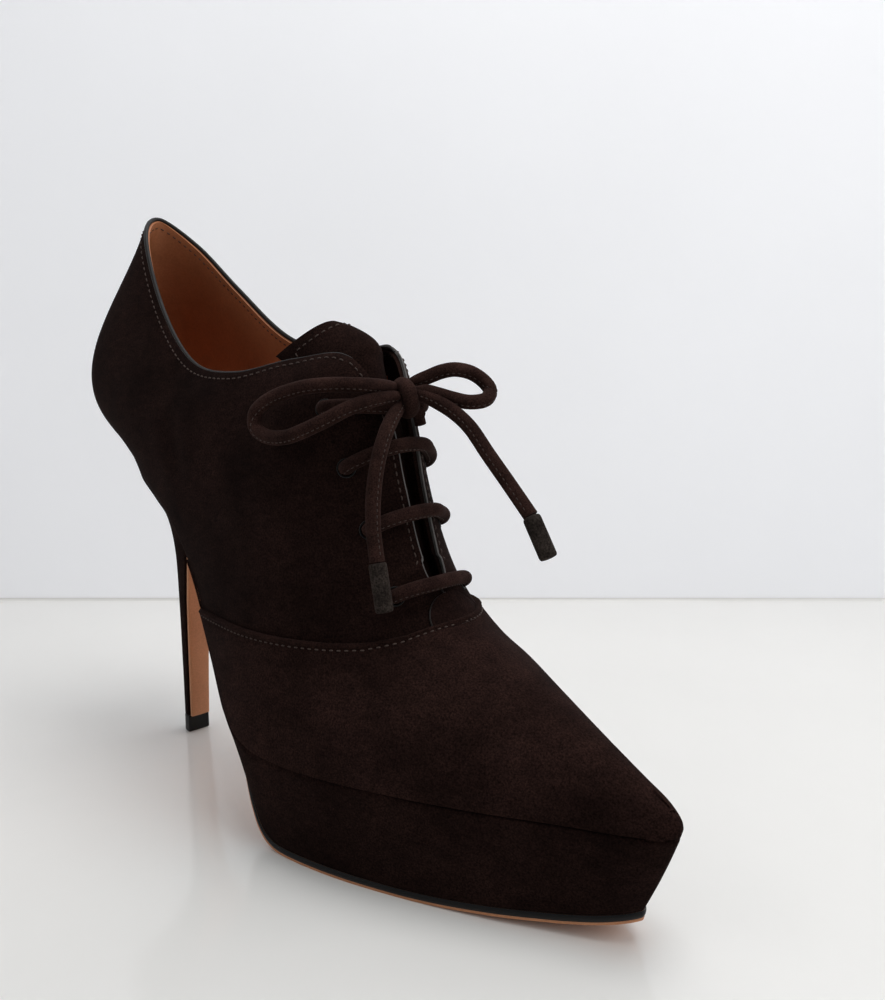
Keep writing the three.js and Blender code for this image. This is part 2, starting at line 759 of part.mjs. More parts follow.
// How far an eyelet stands from the throat's middle, and how high
function eyeletSpot(turnAt, { place, up }) {
  const point = lastPoint(turnAt(place), up);
  const middleY = (lastPoint(outerTurn(place), 1).y + lastPoint(innerTurn(place), 1).y) / 2;
  return { across: point.y - middleY, z: point.z };
}

// A bar rises a little from one eyelet over the crest to the other
function barPoints(row) {
  const rise = (lastPoint(outerTurn(row.place), 1).z - eyeletSpot(outerTurn, row).z) / 2;
  const side = (turnAt) => {
    const { across, z } = eyeletSpot(turnAt, row);
    return [1, 0.6, 0.2].map((share) =>
      frontPoint(z + rise * (1 - share ** 2), across * share, laceHeight + 1.2 * share * (1 - share)),
    );
  };
  return [...side(outerTurn), ...side(innerTurn).reverse()];
}
for (const [i, row] of eyeletRows.entries())
  if (i > 0) addPiece(`lace_row_${i + 1}`, cord(barPoints(row), laceDiameter, 10), finish.lace);

// The knot stands over the crest, between the first two rows
const knotPlace = 9.1;
function crestPoint(place, height) {
  const outer = skinPoint(outerTurn(place), 1, height);
  return outer.add(skinPoint(innerTurn(place), 1, height)).multiplyScalar(0.5);
}
const knotShift = 0.025 * ballWidth;
const knotAt = crestPoint(knotPlace, knotRadii.x + 2 * gap + 1).add(new THREE.Vector3(0, knotShift, 0));
const knotTurn = new THREE.Quaternion().setFromUnitVectors(
  new THREE.Vector3(0, 0, 1),
  new THREE.Vector3(-0.33, 0, 0.94).normalize(),
);
const knot = new THREE.SphereGeometry(1, 14, 10);
knot.rotateX(Math.PI / 2);
knot.scale(knotRadii.x, knotRadii.y, knotRadii.z);
knot.applyQuaternion(knotTurn);
knot.translate(knotAt.x, knotAt.y, knotAt.z);
addPiece("lace_knot", knot, finish.lace);

// Where a cord that heads for the knot ends, just clear of it
function besideKnot(direction, off) {
  const local = direction.clone().applyQuaternion(knotTurn.clone().invert()).normalize();
  const reach = 1 / Math.hypot(local.x / knotRadii.x, local.y / knotRadii.y, local.z / knotRadii.z);
  return knotAt.clone().addScaledVector(direction.clone().normalize(), reach + off);
}

// Points of the bow: forward, to the inner side and up from the knot,
// as shares of shoeLength, ballWidth and instepHeight
function fromKnot([x, y, z]) {
  return new THREE.Vector3(x * shoeLength, y * ballWidth, z * instepHeight).add(knotAt);
}
const knotOff = 1;
const bow = {
  lace_loop_left: [
    [-0.012, -0.209, 0.03],
    [-0.065, -0.31, 0.03],
    [-0.11, -0.359, 0.003],
    [-0.135, -0.384, -0.043],
    [-0.115, -0.394, -0.086],
    [-0.072, -0.386, -0.091],
    [-0.037, -0.353, -0.069],
    [-0.007, -0.271, -0.022],
  ],
  lace_loop_right: [
    [0.03, 0.06, 0.067],
    [0.042, 0.1, 0.068],
    [0.057, 0.163, 0.046],
    [0.062, 0.175, 0.008],
    [0.047, 0.135, -0.017],
  ],
  lace_tail_left: [
    [0.012, -0.12, -0.055],
    [0.017, -0.213, -0.105],
    [0.018, -0.243, -0.188],
    [0.02, -0.256, -0.268],
    [0.03, -0.27, -0.365],
  ],
  lace_tail_right: [
    [0.036, 0, -0.013],
    [0.066, 0.025, -0.066],
    [0.096, 0.05, -0.132],
    [0.128, 0.062, -0.202],
    [0.148, 0.075, -0.257],
  ],
};
const bowEnds = {
  lace_loop_left: [new THREE.Vector3(-0.2, -1, 0.9), new THREE.Vector3(0.4, -1, -0.1)],
  lace_loop_right: [new THREE.Vector3(0.3, 0.7, 1), new THREE.Vector3(0.35, 1, 0.15)],
  lace_tail_left: [new THREE.Vector3(0.5, -0.5, -1)],
  lace_tail_right: [new THREE.Vector3(1, 0.1, -0.1)],
};
const tips = {
  left: [0.042, -0.27, -0.478],
  right: [0.173, 0.075, -0.348],
};
for (const [name, points] of Object.entries(bow)) {
  const [start, end] = bowEnds[name];
  const path = [besideKnot(start, knotOff), besideKnot(start, 2 * laceDiameter / 3 + knotOff)];
  path.push(...points.map(fromKnot));
  if (end) path.push(besideKnot(end, 2 * laceDiameter / 3 + knotOff), besideKnot(end, knotOff));
  addPiece(name, cord(path, laceDiameter, end ? 14 : 7), finish.lace);
}

// The wrapped tips carry on where the tails end
for (const [side, tip] of Object.entries(tips)) {
  const tail = bow[`lace_tail_${side}`].map(fromKnot);
  const from = tail[tail.length - 1];
  const way = fromKnot(tip).sub(from).normalize();
  const path = [from.clone().addScaledVector(way, 2 * gap), fromKnot(tip)];
  addPiece(`lace_tip_${side}`, cord(path, tipDiameter, 2), finish.lace);
}

// The first row's strands run from its eyelets to the knot
const strandEnds = { outer: new THREE.Vector3(-0.2, -1, -0.7), inner: new THREE.Vector3(-0.2, 1, -0.7) };
for (const [side, turnAt] of Object.entries(sideTurns)) {
  const { across, z } = eyeletSpot(turnAt, eyeletRows[0]);
  const path = [1, 0.65].map((share) => frontPoint(z, across * share, laceHeight + 2 * (1 - share)));
  path.push(besideKnot(strandEnds[side], 2 * knotOff));
  addPiece(`lace_row_1_${side}`, cord(path, laceDiameter, 4), finish.lace);
}

export default shoe;
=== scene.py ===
# %% [markdown]
# # Lace up heel, right shoe
#
# A dark suede platform shoe with a pointed toe, a slim covered heel and a laced throat. The frame is the
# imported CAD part. Every visible surface is made again here, finer, on the same last, and gets its finish:
# napped suede, brown lining leather, tan sole leather, round suede laces and real stitches.
#
# Lengths are in millimetres up to the point where a mesh is made, and metres from there on.

import json
import math

import bmesh
import bpy
import numpy as np
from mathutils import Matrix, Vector

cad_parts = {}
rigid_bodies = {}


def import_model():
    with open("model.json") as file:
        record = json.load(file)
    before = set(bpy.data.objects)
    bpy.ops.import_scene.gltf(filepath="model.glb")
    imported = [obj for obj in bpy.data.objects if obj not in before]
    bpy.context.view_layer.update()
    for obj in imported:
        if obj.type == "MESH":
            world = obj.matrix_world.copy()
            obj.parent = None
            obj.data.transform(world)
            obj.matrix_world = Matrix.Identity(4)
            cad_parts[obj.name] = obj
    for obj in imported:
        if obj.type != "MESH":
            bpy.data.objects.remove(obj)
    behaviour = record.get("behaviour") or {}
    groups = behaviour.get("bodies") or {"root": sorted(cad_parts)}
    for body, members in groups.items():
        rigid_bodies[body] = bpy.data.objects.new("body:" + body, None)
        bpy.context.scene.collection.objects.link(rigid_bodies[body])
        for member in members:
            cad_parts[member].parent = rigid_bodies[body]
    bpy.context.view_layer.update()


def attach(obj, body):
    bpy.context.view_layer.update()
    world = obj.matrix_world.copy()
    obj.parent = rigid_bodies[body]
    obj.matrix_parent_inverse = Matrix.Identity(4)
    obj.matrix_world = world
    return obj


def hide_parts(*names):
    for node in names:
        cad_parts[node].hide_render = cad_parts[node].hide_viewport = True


MM = 0.001
for start_object in list(bpy.data.objects):
    bpy.data.objects.remove(start_object)
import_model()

# %% [markdown]
# ## Camera
#
# The photograph looks down on the outer side of a right shoe from in front of its toe, at about the
# height of its ankle. A 32 mm lens from a quarter of a metre away gives the strong narrowing to the heel.

# %% Camera
CAMERA_AT = (172.1, -176.8, 136.3)
CAMERA_AIM = (-0.6844, 0.7162, -0.1366)
CAMERA_LENS = 32.4

camera_data = bpy.data.cameras.new("camera")
camera_data.lens = CAMERA_LENS
camera_data.sensor_width = 36
camera_data.clip_start = 0.01
camera_data.dof.use_dof = False
camera = bpy.data.objects.new("camera", camera_data)
camera.location = Vector(CAMERA_AT) * MM
camera.rotation_euler = Vector(CAMERA_AIM).to_track_quat("-Z", "Y").to_euler()
bpy.context.scene.collection.objects.link(camera)
bpy.context.scene.camera = camera

# %% [markdown]
# ## Helpers for meshes
#
# A piece is a grid of points skinned with quads, a tube along a curve, or many small copies of one form.
# Each is plain mesh code, because a shoe's parts are sheets and cords.


# %% Mesh helpers
def mesh_piece(name, points, faces, materials, smooth_angle):
    """A mesh object from points in millimetres, with smooth faces and sharp edges over an angle."""
    mesh = bpy.data.meshes.new(name)
    mesh.from_pydata([tuple(p) for p in np.asarray(points) * MM], [], faces)
    piece = bpy.data.objects.new(name, mesh)
    bpy.context.scene.collection.objects.link(piece)
    for material in materials:
        mesh.materials.append(material)
    bm = bmesh.new()
    bm.from_mesh(mesh)
    bmesh.ops.remove_doubles(bm, verts=bm.verts, dist=2e-6)
    bmesh.ops.dissolve_degenerate(bm, edges=bm.edges, dist=1e-6)
    bmesh.ops.recalc_face_normals(bm, faces=bm.faces)
    bm.to_mesh(mesh)
    bm.free()
    smooth(piece, smooth_angle)
    return piece


def smooth(piece, angle):
    """Smooth shading, but for edges that bend by more than an angle in degrees."""
    piece.data.polygons.foreach_set("use_smooth", [True] * len(piece.data.polygons))
    piece.data.set_sharp_from_angle(angle=math.radians(angle))


def grid_faces(rows, columns, closed=False):
    """Quads between neighbouring rows and columns. closed joins the last column to the first."""
    faces = []
    for i in range(rows - 1):
        for j in range(columns if closed else columns - 1):
            k = (j + 1) % columns
            faces.append((i * columns + j, i * columns + k, (i + 1) * columns + k, (i + 1) * columns + j))
    return faces


def grid_piece(name, grid, materials, closed=False, caps=False, smooth_angle=40):
    """A skin over a grid of points. caps closes the first and last rows where the rows are closed."""
    grid = np.asarray(grid)
    rows, columns = grid.shape[:2]
    faces = grid_faces(rows, columns, closed)
    if caps:
        faces.append(tuple(range(columns))[::-1])
        faces.append(tuple(range((rows - 1) * columns, rows * columns)))
    return mesh_piece(name, grid.reshape(-1, 3), faces, materials, smooth_angle)


def apply_modifier(piece, kind, **settings):
    modifier = piece.modifiers.new(kind.lower(), kind)
    for key, value in settings.items():
        setattr(modifier, key, value)
    bpy.context.view_layer.objects.active = piece
    bpy.ops.object.modifier_apply(modifier=modifier.name)


def round_edges(piece, width, segments, over_angle):
    """Rounds the edges that bend by more than an angle in degrees."""
    limit = {"limit_method": "ANGLE", "angle_limit": math.radians(over_angle)}
    apply_modifier(piece, "BEVEL", width=width * MM, segments=segments, **limit)


def thicken(piece, thickness, edge_material=0, bevel=0.2):
    """Gives a sheet its thickness inwards, with a rounded cut edge."""
    rim = {"use_rim": True, "material_offset_rim": edge_material}
    apply_modifier(piece, "SOLIDIFY", thickness=thickness * MM, offset=-1, **rim)
    if bevel:
        round_edges(piece, bevel, 2, 55)
    smooth(piece, 50)


def settle(piece, node=None):
    """A piece rides on the shoe's one body, and may stand for a node of the CAD part."""
    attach(piece, "root")
    if node:
        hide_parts(node)


def unit(vectors):
    vectors = np.asarray(vectors, float)
    return vectors / np.maximum(np.linalg.norm(vectors, axis=-1, keepdims=True), 1e-9)


def smooth_between(a, b, c, d, f):
    """A Catmull-Rom curve from b to c. f goes from 0 to 1."""
    return b + 0.5 * f * (c - a + f * (2 * a - 5 * b + 4 * c - d + f * (3 * b - a - 3 * c + d)))


def smooth_line(points, spacing):
    """A smooth curve through the points, resampled at an even spacing."""
    points = np.asarray(points, float)
    padded = np.concatenate([2 * points[:1] - points[1:2], points, 2 * points[-1:] - points[-2:-1]])
    f = np.linspace(0, 1, 16, endpoint=False)[:, None]
    spans = zip(padded, padded[1:], padded[2:], padded[3:])
    pieces = [smooth_between(a, b, c, d, f) for a, b, c, d in spans]
    return resample(np.concatenate([*pieces, points[-1:]]), spacing)


def walked_along(line):
    """The distance from the line's start to each of its points."""
    return np.concatenate([[0], np.cumsum(np.linalg.norm(np.diff(line, axis=0), axis=1))])


def read_at(at, walked, values):
    """Points or directions that are known at some distances, read at others."""
    return np.stack([np.interp(at, walked, values[:, k]) for k in range(3)], axis=1)


def resample(line, spacing):
    walked = walked_along(line)
    count = max(2, int(round(walked[-1] / spacing)) + 1)
    return read_at(np.linspace(0, walked[-1], count), walked, line)


def line_length(line):
    return float(np.linalg.norm(np.diff(line, axis=0), axis=1).sum())


def along_line(line):
    return unit(np.gradient(line, axis=0))


def frames_facing(line, face):
    """A side and an up direction at each point. Up is square to the line, as near to face as it can be."""
    forward = along_line(line)
    ups = unit(face - forward * (forward @ face)[:, None])
    return np.cross(forward, ups), ups


def tube(name, line, radius, materials, face=(0, 0, 1), sides=16, caps=True, groove=0):
    """A round cord along a line. radius is a number or one for each point. groove sinks a seam on top."""
    side, up = frames_facing(line, np.asarray(face, float))
    angle = np.linspace(0, 2 * math.pi, sides, endpoint=False)
    radii = np.broadcast_to(np.asarray(radius, float), len(line))
    sink = 1 - groove * np.exp(-((np.angle(np.exp(1j * (angle - math.pi / 2))) / 0.22) ** 2))
    ring = np.stack([np.cos(angle) * sink, np.sin(angle) * sink])
    grid = (
        line[:, None]
        + side[:, None] * (ring[0] * radii[:, None])[..., None]
        + up[:, None] * (ring[1] * radii[:, None])[..., None]
    )
    return grid_piece(name, grid, materials, closed=True, caps=caps, smooth_angle=50)


def stitch_row(name, line, normals, material, pitch, length, width, sink=0.1):
    """Thread stitches along a line on a surface: short rounded bars that dip at their ends."""
    walked = walked_along(line)
    count = int(walked[-1] // pitch)
    steps = np.array([-0.5, -0.38, -0.2, 0, 0.2, 0.38, 0.5])
    lift = np.array([-0.5, 0.1, 0.42, 0.5, 0.42, 0.1, -0.5]) * width
    thick = np.array([0.5, 0.9, 1, 1, 1, 0.9, 0.5]) * width / 2
    sides = 6
    angle = np.linspace(0, 2 * math.pi, sides, endpoint=False)
    points = []
    faces = []
    for n in range(count):
        at = (n + 0.5) * pitch + steps * length
        centre = read_at(at, walked, line)
        up = unit(read_at(at, walked, normals))
        side = unit(np.cross(unit(np.gradient(centre, axis=0)), up))
        centre = centre + up * (lift - sink)[:, None]
        ring = (
            centre[:, None]
            + side[:, None] * (np.cos(angle) * thick[:, None])[..., None]
            + up[:, None] * (np.sin(angle) * thick[:, None])[..., None]
        )
        first = len(points) * len(steps) * sides
        points.append(ring.reshape(-1, 3))
        faces += [tuple(first + i for i in face) for face in grid_faces(len(steps), sides, closed=True)]
        faces.append(tuple(range(first, first + sides))[::-1])
        last = first + (len(steps) - 1) * sides
        faces.append(tuple(range(last, last + sides)))
    piece = bpy.data.objects.new(name, bpy.data.meshes.new(name))
    piece.data.from_pydata([tuple(p) for p in np.concatenate(points) * MM], [], faces)
    piece.data.materials.append(material)
    bpy.context.scene.collection.objects.link(piece)
    smooth(piece, 70)
    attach(piece, "root")


def bisect(low, high, past, steps):
    """Halves the span from low to high round the value where past turns true."""
    for _ in range(steps):
        middle = (low + high) / 2
        over = past(middle)
        low, high = np.where(over, low, middle), np.where(over, middle, high)
    return low, high


# %% [markdown]
# ## Materials
#
# Suede is the flesh side of the hide, sanded to a short nap. It has no gloss, so its look comes from
# three things: a fine grain of lit and shaded fibres, soft patches where the nap lies another way, and a
# pale rim where the fibres catch light at a grazing angle. Each is one layer of noise or sheen here.


# %% Materials
def new_material(name):
    material = bpy.data.materials.new(name)
    material.use_nodes = True
    nodes = material.node_tree.nodes
    return material, nodes, material.node_tree.links, nodes["Principled BSDF"]


def noise(nodes, links, size, detail=2.0, roughness=0.5, stretch=(1, 1, 1)):
    """Noise in the shoe's own space, with features of about this size in millimetres."""
    place = nodes.new("ShaderNodeTexCoord")
    scale = nodes.new("ShaderNodeMapping")
    scale.inputs["Scale"].default_value = stretch
    texture = nodes.new("ShaderNodeTexNoise")
    texture.inputs["Scale"].default_value = 1 / (size * MM)
    texture.inputs["Detail"].default_value = detail
    texture.inputs["Roughness"].default_value = roughness
    links.new(place.outputs["Object"], scale.inputs["Vector"])
    links.new(scale.outputs["Vector"], texture.inputs["Vector"])
    return texture.outputs["Fac"]


def ramp(nodes, links, source, stops):
    made = nodes.new("ShaderNodeValToRGB")
    made.color_ramp.elements[0].position = stops[0][0]
    made.color_ramp.elements[0].color = (*stops[0][1], 1)
    made.color_ramp.elements[1].position = stops[-1][0]
    made.color_ramp.elements[1].color = (*stops[-1][1], 1)
    for position, colour in stops[1:-1]:
        made.color_ramp.elements.new(position).color = (*colour, 1)
    links.new(source, made.inputs["Fac"])
    return made.outputs["Color"]


def blended(nodes, links, kind, factor, first, second):
    mix = nodes.new("ShaderNodeMix")
    mix.data_type = "RGBA"
    mix.blend_type = kind
    mix.inputs["Factor"].default_value = factor
    links.new(first, mix.inputs["A"])
    links.new(second, mix.inputs["B"])
    return mix.outputs["Result"]


def bumped(nodes, links, shader, layers):
    """Bump layers on top of each other: source, strength and depth in millimetres."""
    normal = None
    for source, strength, depth in layers:
        bump = nodes.new("ShaderNodeBump")
        bump.inputs["Strength"].default_value = strength
        bump.inputs["Distance"].default_value = depth * MM
        links.new(source, bump.inputs["Height"])
        if normal:
            links.new(normal, bump.inputs["Normal"])
        normal = bump.outputs["Normal"]
    links.new(normal, shader.inputs["Normal"])


def shade(colour, factor):
    return tuple(c * factor for c in colour)


def suede(name, colour, nap=0.5, patch=24, sheen=0.006):
    """Napped leather: grain of the nap in millimetres, patches of turned nap, and a soft pale rim."""
    material, nodes, links, shader = new_material(name)
    fibres = noise(nodes, links, nap, 3, 0.62)
    grain = ramp(nodes, links, fibres, [(0.32, (0.3, 0.3, 0.3)), (0.68, (1.85, 1.85, 1.85))])
    turned_nap = noise(nodes, links, patch, 4, 0.6)
    patches = ramp(nodes, links, turned_nap, [(0.3, shade(colour, 0.6)), (0.7, shade(colour, 1.45))])
    strokes = noise(nodes, links, 5, 3, 0.55, (1, 1, 2.2))
    brushed = ramp(nodes, links, strokes, [(0.3, (0.82, 0.82, 0.83)), (0.72, (1.2, 1.18, 1.16))])
    tone = blended(nodes, links, "MULTIPLY", 1.0, patches, brushed)
    links.new(blended(nodes, links, "MULTIPLY", 0.85, tone, grain), shader.inputs["Base Color"])
    shader.inputs["Roughness"].default_value = 0.96
    shader.inputs["Specular IOR Level"].default_value = 0.03
    shader.inputs["Sheen Weight"].default_value = sheen
    shader.inputs["Sheen Roughness"].default_value = 0.5
    shader.inputs["Sheen Tint"].default_value = (1.0, 0.66, 0.58, 1)
    soft_relief = (noise(nodes, links, 6, 2), 0.25, 0.35)
    nap_relief = (noise(nodes, links, nap, 3, 0.7), 0.6, 0.12)
    bumped(nodes, links, shader, [soft_relief, nap_relief])
    return material


def leather(name, colour, roughness, grain, depth=0.05, spread=0.12):
    """Smooth leather: fine pores, faint clouding and a soft gloss."""
    material, nodes, links, shader = new_material(name)
    tints = [(0.3, shade(colour, 1 - spread)), (0.7, shade(colour, 1 + spread))]
    clouds = ramp(nodes, links, noise(nodes, links, 14, 4, 0.6), tints)
    pores = noise(nodes, links, grain, 4, 0.65)
    flecks = ramp(nodes, links, pores, [(0.35, (0.88, 0.88, 0.88)), (0.65, (1.1, 1.1, 1.1))])
    links.new(blended(nodes, links, "MULTIPLY", 0.8, clouds, flecks), shader.inputs["Base Color"])
    shader.inputs["Roughness"].default_value = roughness
    shader.inputs["Specular IOR Level"].default_value = 0.25
    bumped(nodes, links, shader, [(noise(nodes, links, grain, 3, 0.6), 0.5, depth)])
    return material


SUEDE_BROWN = (0.0132, 0.0065, 0.0053)
# One brown in two copies: the vamp's is lightened as painted light, and the rest of the upper's is darkened
# as painted shade.
upper_suede_painted_shade = suede("upper_suede_painted_shade", shade(SUEDE_BROWN, 0.82))
vamp_suede_painted_lit = suede("vamp_suede_painted_lit", shade(SUEDE_BROWN, 1.15))
# Suede darkened to a third, for the painted shade in the platform's crease.
crease_painted_shade_suede = suede("crease_painted_shade_suede", shade(SUEDE_BROWN, 0.3))
lace_suede = suede("lace_suede", shade(SUEDE_BROWN, 1.6), nap=0.36, patch=9, sheen=0.03)
cut_edge = leather("cut_edge", (0.11, 0.10, 0.095), 0.7, grain=0.5)
pale_edge = leather("pale_edge", (0.12, 0.112, 0.108), 0.7, grain=0.5)
piping_leather = leather("piping_leather", (0.010, 0.0085, 0.008), 0.55, grain=0.5)
lining_leather = leather("lining_leather", (0.42, 0.162, 0.072), 0.5, grain=0.8, depth=0.04)
sole_leather = leather("sole_leather", (0.56, 0.25, 0.125), 0.42, grain=0.6, depth=0.03, spread=0.06)
edge_paint = leather("edge_paint", (0.006, 0.0055, 0.0055), 0.5, grain=1.2)
lift_rubber = leather("lift_rubber", (0.007, 0.0065, 0.006), 0.5, grain=0.7)
thread = leather("thread", (0.066, 0.044, 0.036), 0.7, grain=0.3)
lace_thread = leather("lace_thread", (0.052, 0.034, 0.028), 0.7, grain=0.3)
tip_wrap = suede("tip_wrap", (0.022, 0.0175, 0.015), nap=0.55, patch=4, sheen=0.03)
print("materials:", len(bpy.data.materials))

# %% [markdown]
# ## The last
#
# The upper is drawn over a last, so every piece of it is a stretch of one surface. The surface is built
# of ribs that go round the shoe from the toe to the heel, each one a curve from the foot line up to the
# ridge, the throat's edge or the collar. These are the ribs that the CAD part is built on, with the same
# sizes, so that each piece lies where its solid is.

# %% The last's ribs
SHOE_LENGTH = 247
BALL_WIDTH = 80
PLATFORM_HEIGHT = 28.8
SEAT_HEIGHT = 112
SEAT_RISE = SEAT_HEIGHT - PLATFORM_HEIGHT
INSTEP_HEIGHT = 115
ORIGIN_AT = 0.69
WALL = 2.2
VAMP_STEP = 1.1
GAP = 0.3
THROAT_WIDTH = 7

# Columns: the foot line, the upper end, and the two points that bend the rib between them
RIB_COLUMNS = (
    "at rise half shift topAt top topHalf topShift dip lowUp lowHalf lowLean highUp highHalf highLean"
).split()
RIBS = np.array([
    [0.996, 0.021, 0, 0.024, 0.989, 0.043, 0, 0.024, 0, 0.4, 0, 0.01, 0.95, 0, 0.01],
    [0.985, 0.02, 0.042, 0.029, 0.975, 0.065, 0, 0.024, 0, 0.5, 0.051, 0.006, 1, 0.028, 0.004],
    [0.956, 0.016, 0.085, 0.028, 0.949, 0.098, 0, 0.024, 0, 0.55, 0.094, 0, 1, 0.047, 0],
    [0.895, 0.01, 0.153, 0.024, 0.893, 0.161, 0, 0.024, 0, 0.6, 0.165, 0, 1, 0.088, 0],
    [0.823, 0.007, 0.253, 0.024, 0.825, 0.229, 0, 0.024, 0, 0.62, 0.276, 0, 1, 0.141, 0],
    [0.743, 0.005, 0.376, 0.049, 0.764, 0.291, 0, 0.018, 0, 0.62, 0.4, 0, 1, 0.176, 0],
    [0.663, 0.005, 0.453, 0.047, 0.718, 0.354, 0, 0.012, 0, 0.6, 0.471, 0, 0.98, 0.188, 0],
    [0.592, 0.007, 0.468, 0.018, 0.688, 0.493, 0.8, -0.01, 0, 0.52, 0.482, 0, 0.95, 0.176, -0.008],
    [0.532, 0.027, 0.435, -0.029, 0.665, 0.651, 0.9, -0.02, 0, 0.46, 0.465, 0, 0.95, 0.188, -0.011],
    [0.482, 0.095, 0.388, -0.053, 0.644, 0.777, 1.2, -0.024, 0, 0.42, 0.435, 0, 0.93, 0.224, -0.011],
    [0.426, 0.265, 0.335, -0.053, 0.592, 0.81, 2.5, 0, 0.02, 0.4, 0.406, 0, 0.93, 0.294, 0],
    [0.355, 0.531, 0.3, -0.035, 0.518, 0.622, 4.3, 0, 0.029, 0.38, 0.382, 0, 0.85, 0.324, 0],
    [0.284, 0.74, 0.294, -0.018, 0.427, 0.457, 6, 0, 0.049, 0.35, 0.376, 0, 0.75, 0.347, 0],
    [0.208, 0.893, 0.288, -0.006, 0.32, 0.413, 5.6, 0, 0.082, 0.35, 0.376, 0, 0.7, 0.347, 0],
    [0.147, 0.966, 0.239, 0, 0.225, 0.507, 4.7, 0, 0.065, 0.3, 0.385, -0.058, 0.7, 0.29, -0.014],
    [0.096, 0.995, 0.141, 0, 0.149, 0.632, 3.2, 0, -0.012, 0.3, 0.33, -0.177, 0.7, 0.184, -0.034],
    [0.069, 1, 0, 0, 0.11, 0.712, 0, 0, 0, 0.3, 0, -0.19, 0.7, 0, -0.027],
])
LAST_RIB = len(RIBS) - 1
BALL, VAMP_REAR = 6, 7
MIRRORED = np.array([-1 if name in ("half", "topHalf", "lowHalf", "highHalf") else 1 for name in RIB_COLUMNS])
RIBS_PADDED = np.concatenate([RIBS[1:2] * MIRRORED, RIBS, RIBS[-2:-1] * MIRRORED])
THROAT_START = BALL + 0.52
THROAT_ROUND = 0.4


def along_length(share):
    return (share - ORIGIN_AT) * SHOE_LENGTH


def length_share(x):
    return x / SHOE_LENGTH + ORIGIN_AT


def rib_values(place):
    place = np.asarray(place, float)
    i = np.clip(np.floor(place).astype(int), 0, LAST_RIB - 1)
    rows = [RIBS_PADDED[i + k] for k in range(4)]
    values = smooth_between(*rows, (place - i)[..., None])
    return {name: values[..., k] for k, name in enumerate(RIB_COLUMNS)}


def table_at(table, x, column=1):
    """A table's value at x, on a smooth curve, held at its ends."""
    table = np.asarray(table, float)
    x = np.clip(np.asarray(x, float), table[0, 0], table[-1, 0])
    i = np.clip(np.searchsorted(table[:, 0], x, side="right") - 1, 0, len(table) - 2)
    f = (x - table[i, 0]) / (table[i + 1, 0] - table[i, 0])
    value = [table[np.clip(i + k, 0, len(table) - 1), column] for k in (-1, 0, 1, 2)]
    return smooth_between(*value, f)


def place_and_side(turn):
    """turn goes round the shoe: 0 at the toe, 1 at the back by the outer side, 2 at the toe again."""
    wrapped = np.mod(turn, 2)
    outer = wrapped <= 1
    return np.where(outer, wrapped, 2 - wrapped) * LAST_RIB, np.where(outer, -1.0, 1.0)


def outer_turn(place):
    return np.asarray(place, float) / LAST_RIB


def inner_turn(place):
    return 2 - np.asarray(place, float) / LAST_RIB


def throat_half(place, values):
    opened = np.clip((place - THROAT_START) / THROAT_ROUND, 0, 1)
    narrow = THROAT_WIDTH / 2 * np.sqrt(opened * (2 - opened))
    return np.where(place <= VAMP_REAR, narrow, narrow * values["topHalf"])


def last_points(turn, up):
    """Points of the last's skin: up goes from the foot line, 0, to the top edge, 1."""
    turn, up = np.broadcast_arrays(np.asarray(turn, float), np.asarray(up, float))
    place, side = place_and_side(turn)
    v = rib_values(place)
    foot_x = along_length(v["at"])
    foot_z = PLATFORM_HEIGHT + v["rise"] * SEAT_RISE
    top_x = along_length(v["topAt"])
    top_z = foot_z + (v["top"] - np.where(side < 0, v["dip"], 0)) * INSTEP_HEIGHT
    shift = v["shift"] * BALL_WIDTH
    top_shift = v["topShift"] * BALL_WIDTH

    def bend(name):
        share = v[name + "Up"]
        return np.stack([
            foot_x + (top_x - foot_x) * share + v[name + "Lean"] * SHOE_LENGTH,
            shift * (1 - share) + top_shift * share + side * v[name + "Half"] * BALL_WIDTH,
            foot_z + (top_z - foot_z) * share,
        ], axis=-1)

    foot = np.stack([foot_x, shift + side * v["half"] * BALL_WIDTH, foot_z], axis=-1)
    top = np.stack([top_x, top_shift + side * throat_half(place, v), top_z], axis=-1)
    u = up[..., None]
    lower = (1 - u) ** 3 * foot + 3 * (1 - u) ** 2 * u * bend("low")
    return lower + 3 * (1 - u) * u**2 * bend("high") + u**3 * top


def last_normals(turn, up):
    turn, up = np.broadcast_arrays(np.asarray(turn, float), np.asarray(up, float))
    step = 0.002
    along = last_points(turn + step, up) - last_points(turn - step, up)
    rise = last_points(turn, np.minimum(1, up + 0.01)) - last_points(turn, np.maximum(0, up - 0.01))
    normals = unit(np.cross(rise, along))
    place, _ = place_and_side(turn)
    ahead = last_points(np.maximum(0, outer_turn(place) - step), 1)
    behind = last_points(outer_turn(place) + step, 1)
    climb, run = behind[..., 2] - ahead[..., 2], ahead[..., 0] - behind[..., 0]
    ridge = unit(np.stack([climb, 0 * place, run], axis=-1))
    on_ridge = (up > 0.999) & (place <= THROAT_START)
    return np.where(on_ridge[..., None], ridge, normals)


def skin(turn, up, height):
    """Points at a height over the last's skin, in millimetres."""
    turn, up, height = np.broadcast_arrays(turn, up, np.asarray(height, float))
    normals = last_normals(turn, up)
    level = unit(normals * np.array([1, 1, 0]))
    normals = np.where((up < 0.001)[..., None], level, normals)
    return last_points(turn, up) + normals * height[..., None]


def rib_walk(turn, start, distance):
    """The up value at a distance in millimetres along the rib from another up value, up or down."""
    turn = np.atleast_1d(turn)
    ups = np.linspace(0, 1, 81)
    steps = np.linalg.norm(np.diff(last_points(turn[:, None], ups), axis=1), axis=2)
    walked = np.concatenate([np.zeros((len(turn), 1)), np.cumsum(steps, axis=1)], axis=1)
    start = np.broadcast_to(start, turn.shape)
    distance = np.broadcast_to(distance, turn.shape)
    found = [np.interp(np.interp(s, ups, w) + d, w, ups) for s, d, w in zip(start, distance, walked)]
    return np.array(found)


